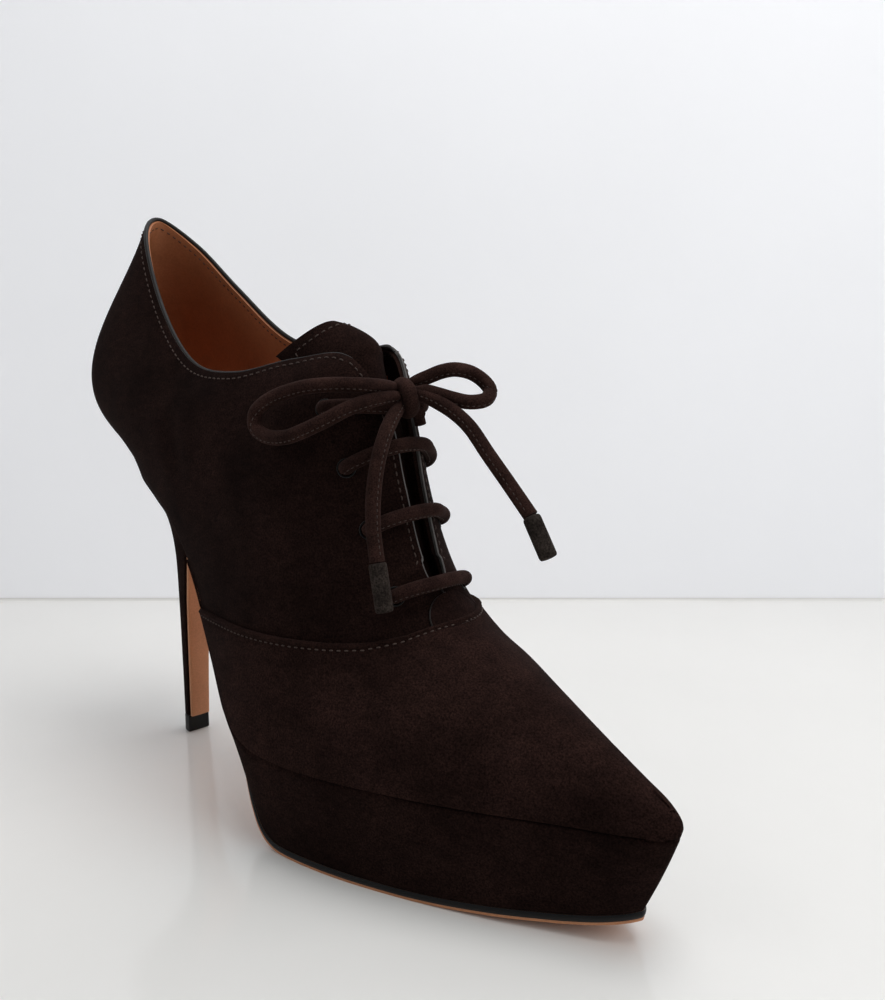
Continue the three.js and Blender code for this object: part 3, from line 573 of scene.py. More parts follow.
# Height of the vamp's rear edge over the platform on the outer and the inner side: share of the length,
# then shares of the instep's height
SEAM_TABLE = [
    [0.3, 0.3, 0.355],
    [0.5, 0.307, 0.355],
    [0.6, 0.312, 0.352],
    [0.65, 0.315, 0.351],
    [0.68, 0.321, 0.351],
    [0.703, 0.333, 0.352],
    [0.714, 0.346, 0.352],
    [0.722, 0.353, 0.353],
    [0.74, 0.355, 0.355],
]


def seam_height(x, side):
    share = length_share(x)
    outer = table_at(SEAM_TABLE, share, 1)
    inner = table_at(SEAM_TABLE, share, 2)
    return PLATFORM_HEIGHT + np.where(side < 0, outer, inner) * INSTEP_HEIGHT


def seam_up(turn):
    """How far up a rib the vamp's edge crosses it: 0 behind the seam, 1 ahead of it."""
    turn = np.atleast_1d(np.asarray(turn, float))
    _, side = place_and_side(turn)

    def over(up):
        points = last_points(turn, up)
        return points[..., 2] - seam_height(points[..., 0], side)

    low, _ = bisect(np.zeros_like(turn), np.ones_like(turn), lambda up: over(up) > 0, 30)
    low = np.where(over(0 * turn) >= 0, 0, low)
    return np.where(over(0 * turn + 1) <= 0, 1, low)


def seam_distance(turn, up):
    """How far a point lies below the vamp's edge, in millimetres along the skin."""
    points = last_points(turn, up)
    _, side = place_and_side(np.broadcast_to(turn, points.shape[:-1]))
    slope = np.sqrt(np.maximum(1 - last_normals(turn, up)[..., 2] ** 2, 0.15))
    return (seam_height(points[..., 0], side) - points[..., 2]) / slope


places = np.linspace(BALL - 1, VAMP_REAR, 400)
APEX = float(places[np.argmax(seam_up(outer_turn(places)) < 1)])
print("vamp edge crosses the ridge at place", round(APEX, 3))

# %% [markdown]
# ## Laces
#
# The laces are round cords of rolled suede, closed by a row of stitches along one side. The cords of the
# bow are free, so they come first: two loops and two ends of their real length, which leave the knot and
# hang down over the quarters. Each end has a wrapped tip.

# %% Points of the bow
LACE_DIAMETER = 4.1
LACE_RADIUS = LACE_DIAMETER / 2
TIP_RADIUS = 4.9 / 2
KNOT_RADII = np.array([4.2, 4.4, 6.4])
KNOT_PLACE = 9.1
KNOT_SHIFT = 0.025 * BALL_WIDTH
KNOT_AXIS = unit([-0.33, 0, 0.94])

crest_turns = np.array([outer_turn(KNOT_PLACE), inner_turn(KNOT_PLACE)])
knot_height = KNOT_RADII[0] + 2 * GAP + 1
KNOT_AT = skin(crest_turns, 1.0, knot_height).mean(axis=0) + np.array([0, KNOT_SHIFT, 0])
KNOT_SIDE = np.array([0, 1.0, 0])
KNOT_FRONT = np.cross(KNOT_SIDE, KNOT_AXIS)


def from_knot(share):
    return KNOT_AT + np.asarray(share) * np.array([SHOE_LENGTH, BALL_WIDTH, INSTEP_HEIGHT])


def beside_knot(direction, off):
    way = unit(direction)
    local = np.array([way @ KNOT_FRONT, way @ KNOT_SIDE, way @ KNOT_AXIS])
    return KNOT_AT + way * (1 / np.linalg.norm(local / KNOT_RADII) + off)


# Points forward, to the inner side and up from the knot: shares of length, ball width and instep height
BOW = {
    "lace_loop_left": [
        (-0.01, -0.027, 0.015),
        (-0.014, -0.065, 0.027),
        (-0.013, -0.136, 0.032),
        (-0.018, -0.221, 0.035),
        (-0.044, -0.28, 0.035),
        (-0.073, -0.324, 0.027),
        (-0.109, -0.359, 0.003),
        (-0.131, -0.38, -0.031),
        (-0.128, -0.389, -0.07),
        (-0.107, -0.386, -0.089),
        (-0.077, -0.377, -0.087),
        (-0.052, -0.357, -0.069),
        (-0.032, -0.324, -0.047),
        (-0.017, -0.263, -0.02),
        (-0.01, -0.181, -0.002),
        (-0.008, -0.101, 0.006),
        (-0.006, -0.044, 0.005),
    ],
    "lace_loop_right": [
        (-0.013, -0.019, 0.017),
        (-0.003, 0.005, 0.039),
        (0.01, 0.034, 0.053),
        (0.021, 0.067, 0.066),
        (0.031, 0.106, 0.071),
        (0.041, 0.152, 0.063),
        (0.051, 0.185, 0.042),
        (0.061, 0.182, 0.019),
        (0.066, 0.139, -0.001),
        (0.058, 0.086, -0.006),
        (0.046, 0.048, 0.001),
        (0.03, 0.019, 0.012),
        (0.015, -0.001, 0.019),
        (-0.006, -0.025, 0.01),
    ],
    "lace_tail_left": [
        (-0.004, -0.035, -0.002),
        (-0.003, -0.068, -0.02),
        (0.004, -0.126, -0.049),
        (0.013, -0.19, -0.096),
        (0.017, -0.231, -0.158),
        (0.018, -0.249, -0.226),
        (0.022, -0.261, -0.293),
        (0.03, -0.268, -0.365),
    ],
    "lace_tail_right": [
        (-0.003, -0.029, 0.008),
        (0.008, -0.019, 0.011),
        (0.021, -0.007, 0.006),
        (0.038, 0.008, -0.01),
        (0.056, 0.024, -0.033),
        (0.074, 0.039, -0.067),
        (0.096, 0.047, -0.123),
        (0.12, 0.064, -0.187),
        (0.148, 0.076, -0.258),
    ],
}
TIP_ENDS = {"left": (0.042, -0.27, -0.478), "right": (0.173, 0.075, -0.348)}

# Which way the stitched side of each cord faces
SEAM_FACES = {
    "lace_loop_left": (0.55, -0.6, -0.58),
    "lace_loop_right": (0.55, -0.6, -0.58),
    "lace_tail_left": (0.95, -0.1, 0.1),
    "lace_tail_right": (0.5, -0.8, -0.1),
}
BAR_SEAM = (0.5, -0.6, -0.62)

bow_lines = {name: smooth_line(from_knot(shares), 1.0) for name, shares in BOW.items()}
for name, line in bow_lines.items():
    print(name, "length, mm:", round(line_length(line), 1))
print("knot at, mm:", KNOT_AT.round(2))

# %% [markdown]
# The cord's surface is rolled suede with a butted seam, sewn with small stitches, so the tube has a
# shallow groove on one side and a row of thread in it. The seam of a cord faces one way all along, the
# way it shows in the photograph. The knot squeezes the cords that go into it, so they are thinner there.


# %% Free cords of the bow
SQUEEZE = 0.24
SQUEEZE_REACH = 5
SEAM_GROOVE = 0.12
LACE_STITCHES = {"pitch": 1.6, "length": 1.0, "width": 0.32, "sink": 0.05}


def lace(name, line, seam_face, pinched=(False, False), stitched=True):
    """A lace along a line. pinched says which of its ends the knot draws in."""
    walked = walked_along(line)
    radii = np.full(len(line), LACE_RADIUS)
    for drawn_in, distance in zip(pinched, (walked, walked[-1] - walked)):
        if drawn_in:
            radii = radii * (1 - SQUEEZE * np.exp(-((distance / SQUEEZE_REACH) ** 2)))
    piece = tube(name, line, radii, [lace_suede], seam_face, sides=24, groove=SEAM_GROOVE)
    settle(piece)
    if not stitched:
        return piece
    _, ups = frames_facing(line, np.asarray(seam_face, float))
    seam = line + ups * radii[:, None] * (1 - SEAM_GROOVE)
    stitch_row(name + "_stitches", seam, ups, lace_thread, **LACE_STITCHES)
    return piece


for side, tip_end in TIP_ENDS.items():
    name = "lace_tip_" + side
    tail = bow_lines["lace_tail_" + side]
    way = unit(from_knot(tip_end) - tail[-1])
    reach = np.linalg.norm(from_knot(tip_end) - tail[-1])
    steps = np.array([0.3, 0.5, 1, 2, *np.linspace(3, reach - 1, 14), reach - 0.4, reach - 0.1, reach])
    radii = np.full(len(steps), TIP_RADIUS)
    radii[:3] = [LACE_RADIUS, TIP_RADIUS * 0.93, TIP_RADIUS * 0.99]
    radii[-3:] = [TIP_RADIUS * 0.97, TIP_RADIUS * 0.88, TIP_RADIUS * 0.7]
    tip = tube(name, tail[-1] + way * steps[:, None], radii, [tip_wrap], (0, -1, 0), sides=28)
    settle(tip, name)

for name, line in bow_lines.items():
    tail = "tail" in name
    piece = lace(name, line, SEAM_FACES[name], pinched=(True, not tail))
    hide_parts(name)

# %% [markdown]
# The knot is one turn of the lace round the crossing, so from the front it is a short upright band with
# the loops and ends coming out on both sides. A tight core of the crossing cords fills its middle.

# %% Knot
KNOT_MIDDLE = KNOT_AT + np.array([-2.0, -1.9, 0.3])
BAND_FRONT = unit([0.93, -0.36, 0.12])
BAND_UP = unit([-0.28, -0.08, 0.96])
BAND_DEEP, BAND_TALL = 4.1, 3.7
BAND_RADIUS = 2.25
CORE_LENGTH = 6
CORE_END_RADIUS, CORE_SWELL = 1.4, 1.3

angle = np.linspace(-math.pi, math.pi, 33)
band = (
    KNOT_MIDDLE
    + BAND_FRONT * (BAND_DEEP * np.cos(angle))[:, None]
    + BAND_UP * (BAND_TALL * np.sin(angle))[:, None]
)
knot = tube("knot_wrap", resample(band, 0.6), BAND_RADIUS, [lace_suede], KNOT_SIDE, sides=24)
settle(knot, "lace_knot")
core_steps = np.linspace(-CORE_LENGTH / 2, CORE_LENGTH / 2, 13)
core_line = KNOT_MIDDLE + np.cross(BAND_UP, BAND_FRONT) * core_steps[:, None]
core_radii = CORE_END_RADIUS + CORE_SWELL * np.sqrt(1 - np.linspace(-0.97, 0.97, 13) ** 2)
core = tube("knot_core", core_line, core_radii, [lace_suede], KNOT_AXIS, sides=24)
settle(core)

# %% [markdown]
# ## Lacing
#
# Four rows of punched holes. The lace crosses straight over from hole to hole, dives through the quarter
# and climbs to the next row inside. The first row's strands go up to the knot.

# %% Lace through the eyelets
JOINT, ARCH = 5, 10
EYELET_DIAMETER = 4.8
EYELET_ROWS = [(9.7, 0.76), (8.85, 0.735), (7.85, 0.745), (6.78, 0.755)]
LACE_HEIGHT = LACE_RADIUS + 0.1
INSIDE_DEPTH = WALL + LACE_RADIUS + 0.2


def middle_y(place):
    return (last_points(outer_turn(place), 1)[..., 1] + last_points(inner_turn(place), 1)[..., 1]) / 2


def front_points(z, across, height):
    """The skin's points at a height z and a distance across from the ridge or the throat's middle."""
    z, across, height = np.broadcast_arrays(*[np.asarray(v, float) for v in (z, across, height)])

    def turn_at(place):
        return np.where(across < 0, outer_turn(place), inner_turn(place))

    def up_at(place):
        def near(up):
            return abs(last_points(turn_at(place), up)[..., 1] - middle_y(place)) <= abs(across)

        return bisect(np.full(z.shape, 0.4), np.ones(z.shape), near, 18)[1]

    def above(place):
        return last_points(turn_at(place), up_at(place))[..., 2] > z

    place, _ = bisect(np.full(z.shape, float(JOINT)), np.full(z.shape, float(ARCH)), above, 18)
    return skin(turn_at(place), up_at(place), height)


def eyelet_spot(turn_at, place, up):
    point = last_points(turn_at(place), up)
    return point[1] - float(middle_y(place)), point[2]


def through_eyelet(turn_at, place, up):
    """The lace's points from just over the hole to inside, on the way in."""
    turn = turn_at(place)
    heights = [0.9, -1.2, -3.2]
    return [skin(turn, up + 0.004 * k, h) for k, h in enumerate(heights)]


def bar_line(place, up):
    crest = last_points(outer_turn(place), 1)[2]
    halves = []
    for turn_at in (outer_turn, inner_turn):
        across, z = eyelet_spot(turn_at, place, up)
        rise = (crest - last_points(outer_turn(place), up)[2]) / 2
        share = np.array([0.86, 0.6, 0.2])
        height = LACE_HEIGHT + (1.2 if across < 0 else -1.5) * share * (1 - share)
        over = front_points(z + rise * (1 - share**2), across * share, height)
        halves.append([*through_eyelet(turn_at, place, up)[::-1], *over])
    return smooth_line([*halves[0], *halves[1][::-1]], 0.8)


for row, (place, up) in enumerate(EYELET_ROWS[1:], start=2):
    bar = lace(f"lace_row_{row}", bar_line(place, up), BAR_SEAM)
    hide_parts(f"lace_row_{row}")

STRAND_ENDS = {"outer": (-0.2, -1, -0.7), "inner": (-0.2, 1, -0.7)}
for side, turn_at in (("outer", outer_turn), ("inner", inner_turn)):
    place, up = EYELET_ROWS[0]
    across, z = eyelet_spot(turn_at, place, up)
    share = np.array([0.88, 0.65])
    height = LACE_HEIGHT + (2 if side == "outer" else -1) * (1 - share)
    over = front_points(z, across * share, height)
    way_in = through_eyelet(turn_at, place, up)[::-1]
    points = [*way_in, *over, beside_knot(STRAND_ENDS[side], -1), KNOT_MIDDLE]
    strand = lace(f"lace_row_1_{side}", smooth_line(points, 0.8), BAR_SEAM, (False, True), side == "outer")
    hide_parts(f"lace_row_1_{side}")
    for row in range(3):
        climb = np.linspace(0, 1, 6)
        here, there = EYELET_ROWS[row], EYELET_ROWS[row + 1]
        depth = INSIDE_DEPTH - 1.2 * (2 * abs(climb - 0.5)) ** 4
        inside = skin(
            turn_at(here[0] + (there[0] - here[0]) * climb), here[1] + (there[1] - here[1]) * climb, -depth
        )
        run = tube(f"lace_inside_{side}_{row + 1}", smooth_line(inside, 1.2), LACE_RADIUS, [lace_suede])
        settle(run)

second_row = last_points(outer_turn(EYELET_ROWS[1][0]), 1)[2]
bar_crest = front_points([second_row - 1], 0.6, LACE_HEIGHT)[0]
drop = smooth_line([KNOT_AT + KNOT_FRONT * 0.5 - KNOT_AXIS * 4.5, (KNOT_AT + bar_crest) / 2, bar_crest], 0.8)
under_knot = tube("lace_under_knot", drop, LACE_RADIUS * 0.8, [lace_suede])
settle(under_knot)
print("lace bars:", [round(line_length(bar_line(*row)), 1) for row in EYELET_ROWS[1:]], "mm")

# %% [markdown]
# ## Quarters
#
# One piece of suede goes round the heel from one side of the throat to the other. It is cut with a plain
# edge at the throat, so the edge shows the paler core of the hide. Soft troughs at the instep are where
# the piece folds when the foot bends. The lining behind it is smooth leather, with a strip of suede, the
# facing, along the throat.


# %% Quarters
def columns_between(first, last, count, power=1.0):
    return first + (last - first) * np.linspace(0, 1, count) ** power


def turns_round(places):
    """Turns from the first place on the outer side, round the back, to the same on the inner side."""
    return np.concatenate([outer_turn(places), inner_turn(places[::-1][1:])])


def turns_round_toe(places):
    """Turns from the last place on the outer side, round the toe, to the same on the inner side."""
    return np.concatenate([outer_turn(places[::-1]), inner_turn(places[1:])])


# Creases: two ends over the outer quarter as (x, z), depth and width in millimetres
CREASES = [
    ((-52, 96), (-18, 84), 0.5, 3.2),
    ((-60, 78), (-24, 71), 0.4, 2.8),
    ((-96, 128), (-84, 100), 0.5, 5.0),
]


def crease_depth(points):
    flat = points[..., [0, 2]]
    depth = np.zeros(points.shape[:-1])
    for start, end, deep, wide in CREASES:
        start, end = np.array(start, float), np.array(end, float)
        along = np.clip(((flat - start) @ (end - start)) / np.sum((end - start) ** 2), 0, 1)
        off = np.linalg.norm(flat - start - along[..., None] * (end - start), axis=-1)
        fade = np.sin(np.pi * np.clip(along, 0.02, 0.98)) ** 0.7
        ridge = np.exp(-(((off - 1.7 * wide) / wide) ** 2)) * 0.35
        depth += deep * fade * (np.exp(-((off / wide) ** 2)) - ridge)
    return depth


SUEDE_THICKNESS = 1.0
FACING_WIDTH = 13
COLLAR_FROM = 9.98
# How far the throat's edges are trimmed back along the ribs, in millimetres: place, outer side, inner side
THROAT_TRIM = [[5.9, 0, 0], [6.2, 0.3, 0.4], [7.3, 0.3, 1.4], [8.6, 0.3, 2.5], [9.9, 0.3, 2.3], [10.4, 0, 0]]


def quarter_top(turns):
    """How far up each rib the quarters reach: 1 but for the trim along the throat."""
    places, side = place_and_side(turns)
    trim = np.where(side < 0, table_at(THROAT_TRIM, places, 1), table_at(THROAT_TRIM, places, 2))
    return np.where(trim > 0, rib_walk(turns, 1.0, -trim), 1.0)


# Places close together where the throat's lower end is round
throat_end_places = THROAT_START + np.array([0.004, 0.015, 0.035, 0.06, 0.1, 0.15, 0.2, 0.26, 0.33])
quarter_places = np.concatenate([
    columns_between(APEX - 0.45, THROAT_START, 36),
    throat_end_places,
    columns_between(VAMP_REAR, LAST_RIB, 190),
])
quarter_turns = turns_round(quarter_places)
tuck = rib_walk(quarter_turns, seam_up(quarter_turns), -7)
ups = tuck[:, None] + (quarter_top(quarter_turns) - tuck)[:, None] * np.linspace(0, 1, 64)
grid = skin(quarter_turns[:, None], ups, 0.0)
grid = skin(quarter_turns[:, None], ups, -crease_depth(grid))
quarters = grid_piece("quarters", grid, [upper_suede_painted_shade, cut_edge])
thicken(quarters, SUEDE_THICKNESS, edge_material=1)

lining_places = np.concatenate([
    columns_between(0, THROAT_START, 60),
    throat_end_places,
    columns_between(VAMP_REAR, LAST_RIB, 90),
])
lining_turns = turns_round(lining_places)
lining_top = rib_walk(lining_turns, quarter_top(lining_turns), -0.3)
lining_top = np.where(place_and_side(lining_turns)[0] <= THROAT_START, 1, lining_top)
grid = skin(lining_turns[:, None], lining_top[:, None] * np.linspace(0, 1, 44), -SUEDE_THICKNESS - 0.15)
lining = grid_piece("lining", grid, [lining_leather, lace_suede])
throat_edges = []
for turn_at in (outer_turn, inner_turn):
    turns = turn_at(columns_between(THROAT_START, COLLAR_FROM + 0.25, 40))
    throat_edges.append(skin(turns, quarter_top(turns), -SUEDE_THICKNESS))
for face in lining.data.polygons:
    middle = np.array(face.center) / MM
    edge = throat_edges[0 if middle[1] < float(middle_y(9)) else 1]
    if np.linalg.norm(edge - middle, axis=1).min() < FACING_WIDTH:
        face.material_index = 1
thicken(lining, WALL - SUEDE_THICKNESS - 0.15, bevel=0)
print("quarters:", len(quarters.data.polygons), "faces; lining:", len(lining.data.polygons))

# %% [markdown]
# The holes are punched with a hollow punch, so they are cut through the suede and the lining with one
# sharp cylinder each, and a thin dark ring lies round each rim.


# %% Eyelets
PUNCH_DEPTH = 3 * WALL
RIM_RADIUS = 0.24


def punch_tool(centre, normal):
    line = np.array([centre - normal * PUNCH_DEPTH, centre + normal * PUNCH_DEPTH])
    return tube("punch", line, EYELET_DIAMETER / 2, [], face=(0.1, 0, 1), sides=32)


punches = []
for place, up in EYELET_ROWS:
    for turn_at in (outer_turn, inner_turn):
        turn = turn_at(place)
        centre, normal = last_points(turn, up), last_normals(turn, up)
        punches.append(punch_tool(centre, normal))
        ring_angle = np.linspace(0, 2 * math.pi, 33)
        side = unit(np.cross(normal, (0, 0, 1)))
        rise = np.cross(side, normal)
        circle = np.cos(ring_angle)[:, None] * side + np.sin(ring_angle)[:, None] * rise
        ring = centre + normal * 0.02 + EYELET_DIAMETER / 2 * 1.06 * circle
        rim_name = f"eyelet_rim_{len(punches)}"
        rim = tube(rim_name, ring, RIM_RADIUS, [edge_paint], normal, sides=10, caps=False)
        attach(rim, "root")

bpy.ops.object.select_all(action="DESELECT")
for punch in punches:
    punch.select_set(True)
bpy.context.view_layer.objects.active = punches[0]
bpy.ops.object.join()
cutter = punches[0]
for piece in (quarters, lining):
    apply_modifier(piece, "BOOLEAN", operation="DIFFERENCE", object=cutter, solver="EXACT")
    smooth(piece, 50)
    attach(piece, "root")
bpy.data.objects.remove(cutter)
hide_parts("upper")

# %% [markdown]
# ## Vamp
#
# The vamp covers the toe and laps over the quarters. Its edge is folded under, so it is a round bead twice
# the suede's thickness, with a groove behind it where a row of stitches holds it down.

# %% Vamp
# Height over the quarters against the distance from the folded edge, in millimetres
FOLD_PROFILE = [
    [0.0, 0.95],
    [0.15, 1.25],
    [0.4, 1.5],
    [0.8, 1.62],
    [1.2, 1.5],
    [1.6, 1.15],
    [2.0, 0.95],
    [2.4, 1.02],
    [3.2, 1.18],
    [4.5, 1.17],
    [8.0, VAMP_STEP],
]
STITCH_BEHIND = 2.0
VAMP_THICKNESS = 0.6
VAMP_STITCHES = {"pitch": 2.2, "length": 1.35, "width": 0.42}
fold_steps = np.array([
    0, 0.08, 0.2, 0.35, 0.55, 0.8, 1.1, 1.35, 1.6, 1.8, 2.0, 2.2, 2.5, 3.0, 3.6, 4.4, 6.0, 8.0,
])
vamp_places = np.concatenate([
    columns_between(0, 3, 40),
    columns_between(3.06, APEX - 0.75, 34),
    columns_between(APEX - 0.74, APEX + 0.5, 60),
    columns_between(APEX + 0.55, 11.2, 70),
])
vamp_turns = turns_round_toe(vamp_places)
seam = seam_up(vamp_turns)
fold_ups = np.stack([rib_walk(vamp_turns, seam, -step) for step in fold_steps], axis=1)
low_ups = fold_ups[:, -1:] * (1 - np.linspace(0, 1, 26)[1:])
ups = np.concatenate([fold_ups, low_ups], axis=1)
distance = np.maximum(seam_distance(vamp_turns[:, None], ups), 0)
heights = np.where(seam[:, None] > 0.001, table_at(FOLD_PROFILE, distance), 0.2)
top_skin = skin(vamp_turns[:, None], ups, heights)
edge_heights = np.array([0.05, 0.3, 0.65])
edge_heights = np.where((seam < 0.9999)[:, None], edge_heights, heights[:, :1])
edge_skin = skin(vamp_turns[:, None], np.broadcast_to(seam[:, None], edge_heights.shape), edge_heights)
vamp = grid_piece("vamp", np.concatenate([edge_skin, top_skin], axis=1), [vamp_suede_painted_lit], smooth_angle=60)
apply_modifier(vamp, "SOLIDIFY", thickness=VAMP_THICKNESS * MM, offset=1, use_rim=True)
smooth(vamp, 60)
settle(vamp, "upper")


def surface_stitches(name, turns, ups, height, **sizes):
    """A stitch row on the last's skin. sizes are the stitch row's."""
    line = skin(turns, ups, height)
    even = resample(line, 0.5)
    walked = walked_along(line)
    normals = read_at(np.linspace(0, walked[-1], len(even)), walked, last_normals(turns, ups))
    stitch_row(name, even, normals, thread, **sizes)


# The stitch line keeps its distance from the edge over the ridge, so it is followed across the ribs
stitched = np.concatenate([columns_between(10.9, APEX + 0.05, 160), columns_between(APEX, APEX - 0.2, 20)])
for side, turn_at in (("outer", outer_turn), ("inner", inner_turn)):
    turns = turn_at(stitched)

    def near_edge(up):
        return seam_distance(turns, up) <= STITCH_BEHIND

    _, ups = bisect(np.zeros(len(turns)), np.ones(len(turns)), near_edge, 24)
    reached = (ups < 0.9995) & (seam_up(turns) > 0.02)
    surface_stitches(f"vamp_stitches_{side}", turns[reached], ups[reached], 0.98, **VAMP_STITCHES)
print("vamp:", len(vamp.data.polygons), "faces")

# %% [markdown]
# ## Collar, throat and tongue
#
# The collar is finished with a narrow rolled binding of smooth leather from one side of the throat round
# the heel to the other. A stitch row follows it through suede and lining. The throat's edges are plain
# and stitched close to the edge, and the cut hide shows there as a thin pale line.

# %% Collar and throat
BINDING_RADIUS = 0.75
EDGE_STITCH = 1.8
EDGE_STITCHES = {"pitch": 2.3, "length": 1.5, "width": 0.42, "sink": 0.06}
COLLAR_STITCHES = {"pitch": 2.5, "length": 1.6, "width": 0.42, "sink": 0.06}
LINING_STITCHES = {"pitch": 2.5, "length": 1.5, "width": 0.4, "sink": 0.06}
# Places where the throat's pale edges end at the top
PALE_EDGE_TO = {"outer": 9.3, "inner": COLLAR_FROM}
PALE_EDGE_RADIUS = 0.34
collar_places = columns_between(COLLAR_FROM, LAST_RIB, 160)
collar_turns = turns_round(collar_places)
rim = skin(collar_turns, 1.0, -WALL * 0.36)
rise = unit(last_points(collar_turns, 1.0) - last_points(collar_turns, 0.97))
rim_line = resample(rim + rise * 0.15, 0.9)
taper = np.minimum(1, np.linspace(0, 1, len(rim_line)) * 40 + 0.35)
binding = tube("collar_binding", rim_line, BINDING_RADIUS * taper * taper[::-1], [piping_leather])
settle(binding)

collar_ups = rib_walk(collar_turns, 1.0, -2.6)
surface_stitches("collar_stitches", collar_turns, collar_ups, 0.0, **COLLAR_STITCHES)
inside_line = resample(skin(collar_turns, collar_ups, -WALL), 0.5)
inside_turns = np.interp(np.linspace(0, 1, len(inside_line)), [0, 1], collar_turns[[0, -1]])
inside_normals = -last_normals(inside_turns, 0.9)
stitch_row("lining_stitches", inside_line, inside_normals, thread, **LINING_STITCHES)

throat_places = columns_between(THROAT_START + 0.42, COLLAR_FROM + 0.06, 90)
for side, turn_at in (("outer", outer_turn), ("inner", inner_turn)):
    turns = turn_at(throat_places)
    ups = rib_walk(turns, quarter_top(turns), -EDGE_STITCH)
    surface_stitches(f"throat_stitches_{side}", turns, ups, 0.0, **EDGE_STITCHES)
    turns = turn_at(columns_between(THROAT_START + 0.2, PALE_EDGE_TO[side], 120))
    cut = resample(skin(turns, quarter_top(turns), -0.3), 0.8)
    cut_line = tube(f"throat_edge_{side}", cut, PALE_EDGE_RADIUS, [pale_edge], sides=8)
    settle(cut_line)

# %% [markdown]
# The tongue is a curved sheet of suede on lining leather. Its round top stands over the collar's front,
# with a stitch row along the edge. Only its top and a strip in the throat show. The strip lies deeper than
# the throat's edges, so they stand over it and the slot between them is dark.

# %% Tongue
TONGUE_THICKNESS = 1.8
TONGUE_SUNK = 2.2
TONGUE_COLUMNS = "up at rise half shift wrap drop".split()
TONGUE_TABLE = [
    [0, 0.689, 0.393, 0.15, -0.02, 0.013, 0.017],
    [0.11, 0.674, 0.48, 0.163, -0.02, 0.022, 0.026],
    [0.22, 0.665, 0.567, 0.175, -0.022, 0.03, 0.035],
    [0.34, 0.654, 0.654, 0.188, -0.024, 0.04, 0.044],
    [0.46, 0.644, 0.741, 0.2, -0.026, 0.046, 0.061],
    [0.58, 0.636, 0.828, 0.206, -0.024, 0.051, 0.078],
    [0.7, 0.62, 0.897, 0.206, -0.02, 0.06, 0.096],
    [0.8, 0.603, 0.963, 0.2, -0.005, 0.08, 0.104],
    [0.88, 0.583, 1.025, 0.175, 0.012, 0.064, 0.104],
    [0.95, 0.552, 1.061, 0.165, 0, 0.056, 0.1],
    [1, 0.528, 1.077, 0.155, -0.024, 0.05, 0.092],
]


def tongue_points(across, up):
    across, up = np.broadcast_arrays(np.asarray(across, float), np.asarray(up, float))
    v = {name: table_at(TONGUE_TABLE, up, k) for k, name in enumerate(TONGUE_COLUMNS)}
    return np.stack([
        along_length(v["at"] - v["wrap"] * across**2),
        (v["shift"] + across * v["half"]) * BALL_WIDTH,
        PLATFORM_HEIGHT + (v["rise"] - v["drop"] * across**2) * INSTEP_HEIGHT,
    ], axis=-1)


def tongue_normals(across, up):
    side = tongue_points(across + 0.01, up) - tongue_points(across - 0.01, up)
    rise = tongue_points(across, np.minimum(up + 0.01, 1)) - tongue_points(across, np.maximum(up - 0.01, 0))
    return unit(np.cross(side, rise))


across = np.linspace(-1, 1, 41)[None, :]
up = np.linspace(0, 1, 91)[:, None]
# The suede lies on the front, and the lining leather behind it
sunk = TONGUE_SUNK * np.sin(math.pi * np.clip(up / 0.85, 0, 1))[..., None] ** 0.5
tongue_front = tongue_points(across, up) - tongue_normals(across, up) * sunk
tongue = grid_piece("tongue", tongue_front, [upper_suede_painted_shade, cut_edge])
thicken(tongue, TONGUE_THICKNESS * 0.55, edge_material=1)
settle(tongue, "tongue")
back_grid = tongue_front - tongue_normals(across, up) * (TONGUE_THICKNESS * 0.58)
tongue_lining = grid_piece("tongue_lining", back_grid, [lining_leather])
thicken(tongue_lining, TONGUE_THICKNESS * 0.4, bevel=0)
settle(tongue_lining)

edge_up = np.concatenate([np.linspace(0.75, 0.955, 40), np.full(60, 0.965), np.linspace(0.955, 0.75, 40)])
edge_across = np.concatenate([np.full(40, -0.88), np.linspace(-0.86, 0.86, 60), np.full(40, 0.88)])
edge_line = resample(tongue_points(edge_across, edge_up), 0.5)
walk, even_walk = np.linspace(0, 1, len(edge_up)), np.linspace(0, 1, len(edge_line))
edge_normals = read_at(even_walk, walk, tongue_normals(edge_across, edge_up))
stitch_row("tongue_stitches", edge_line, edge_normals, thread, **EDGE_STITCHES)

# %% [markdown]
# The half-round tab covers the throat's lower end, where the two quarters would tear apart.

# %% Throat tab
TAB_RADIUS = 9.5
TAB_HEIGHT = 6.6
TAB_SHIFT = 1.2
TAB_THICKNESS = 1.0
seam_crest = last_points(outer_turn(APEX), 1)[2]
across, up = np.meshgrid(np.linspace(-1, 1, 33), np.linspace(0, 1, 17))
offset = across * TAB_RADIUS * np.sqrt(1 - (0.985 * up) ** 2) + TAB_SHIFT
foot = front_points(np.full(offset.shape, seam_crest), offset, 0.0)
foot_z = seam_height(foot[..., 0], np.sign(offset)) - 1.5
grid = front_points(foot_z + up * (TAB_HEIGHT + 2), offset, GAP * 0.3 + TAB_THICKNESS)
tab = grid_piece("throat_tab", grid, [upper_suede_painted_shade, cut_edge])
thicken(tab, TAB_THICKNESS, edge_material=1)
settle(tab, "throat_tab")
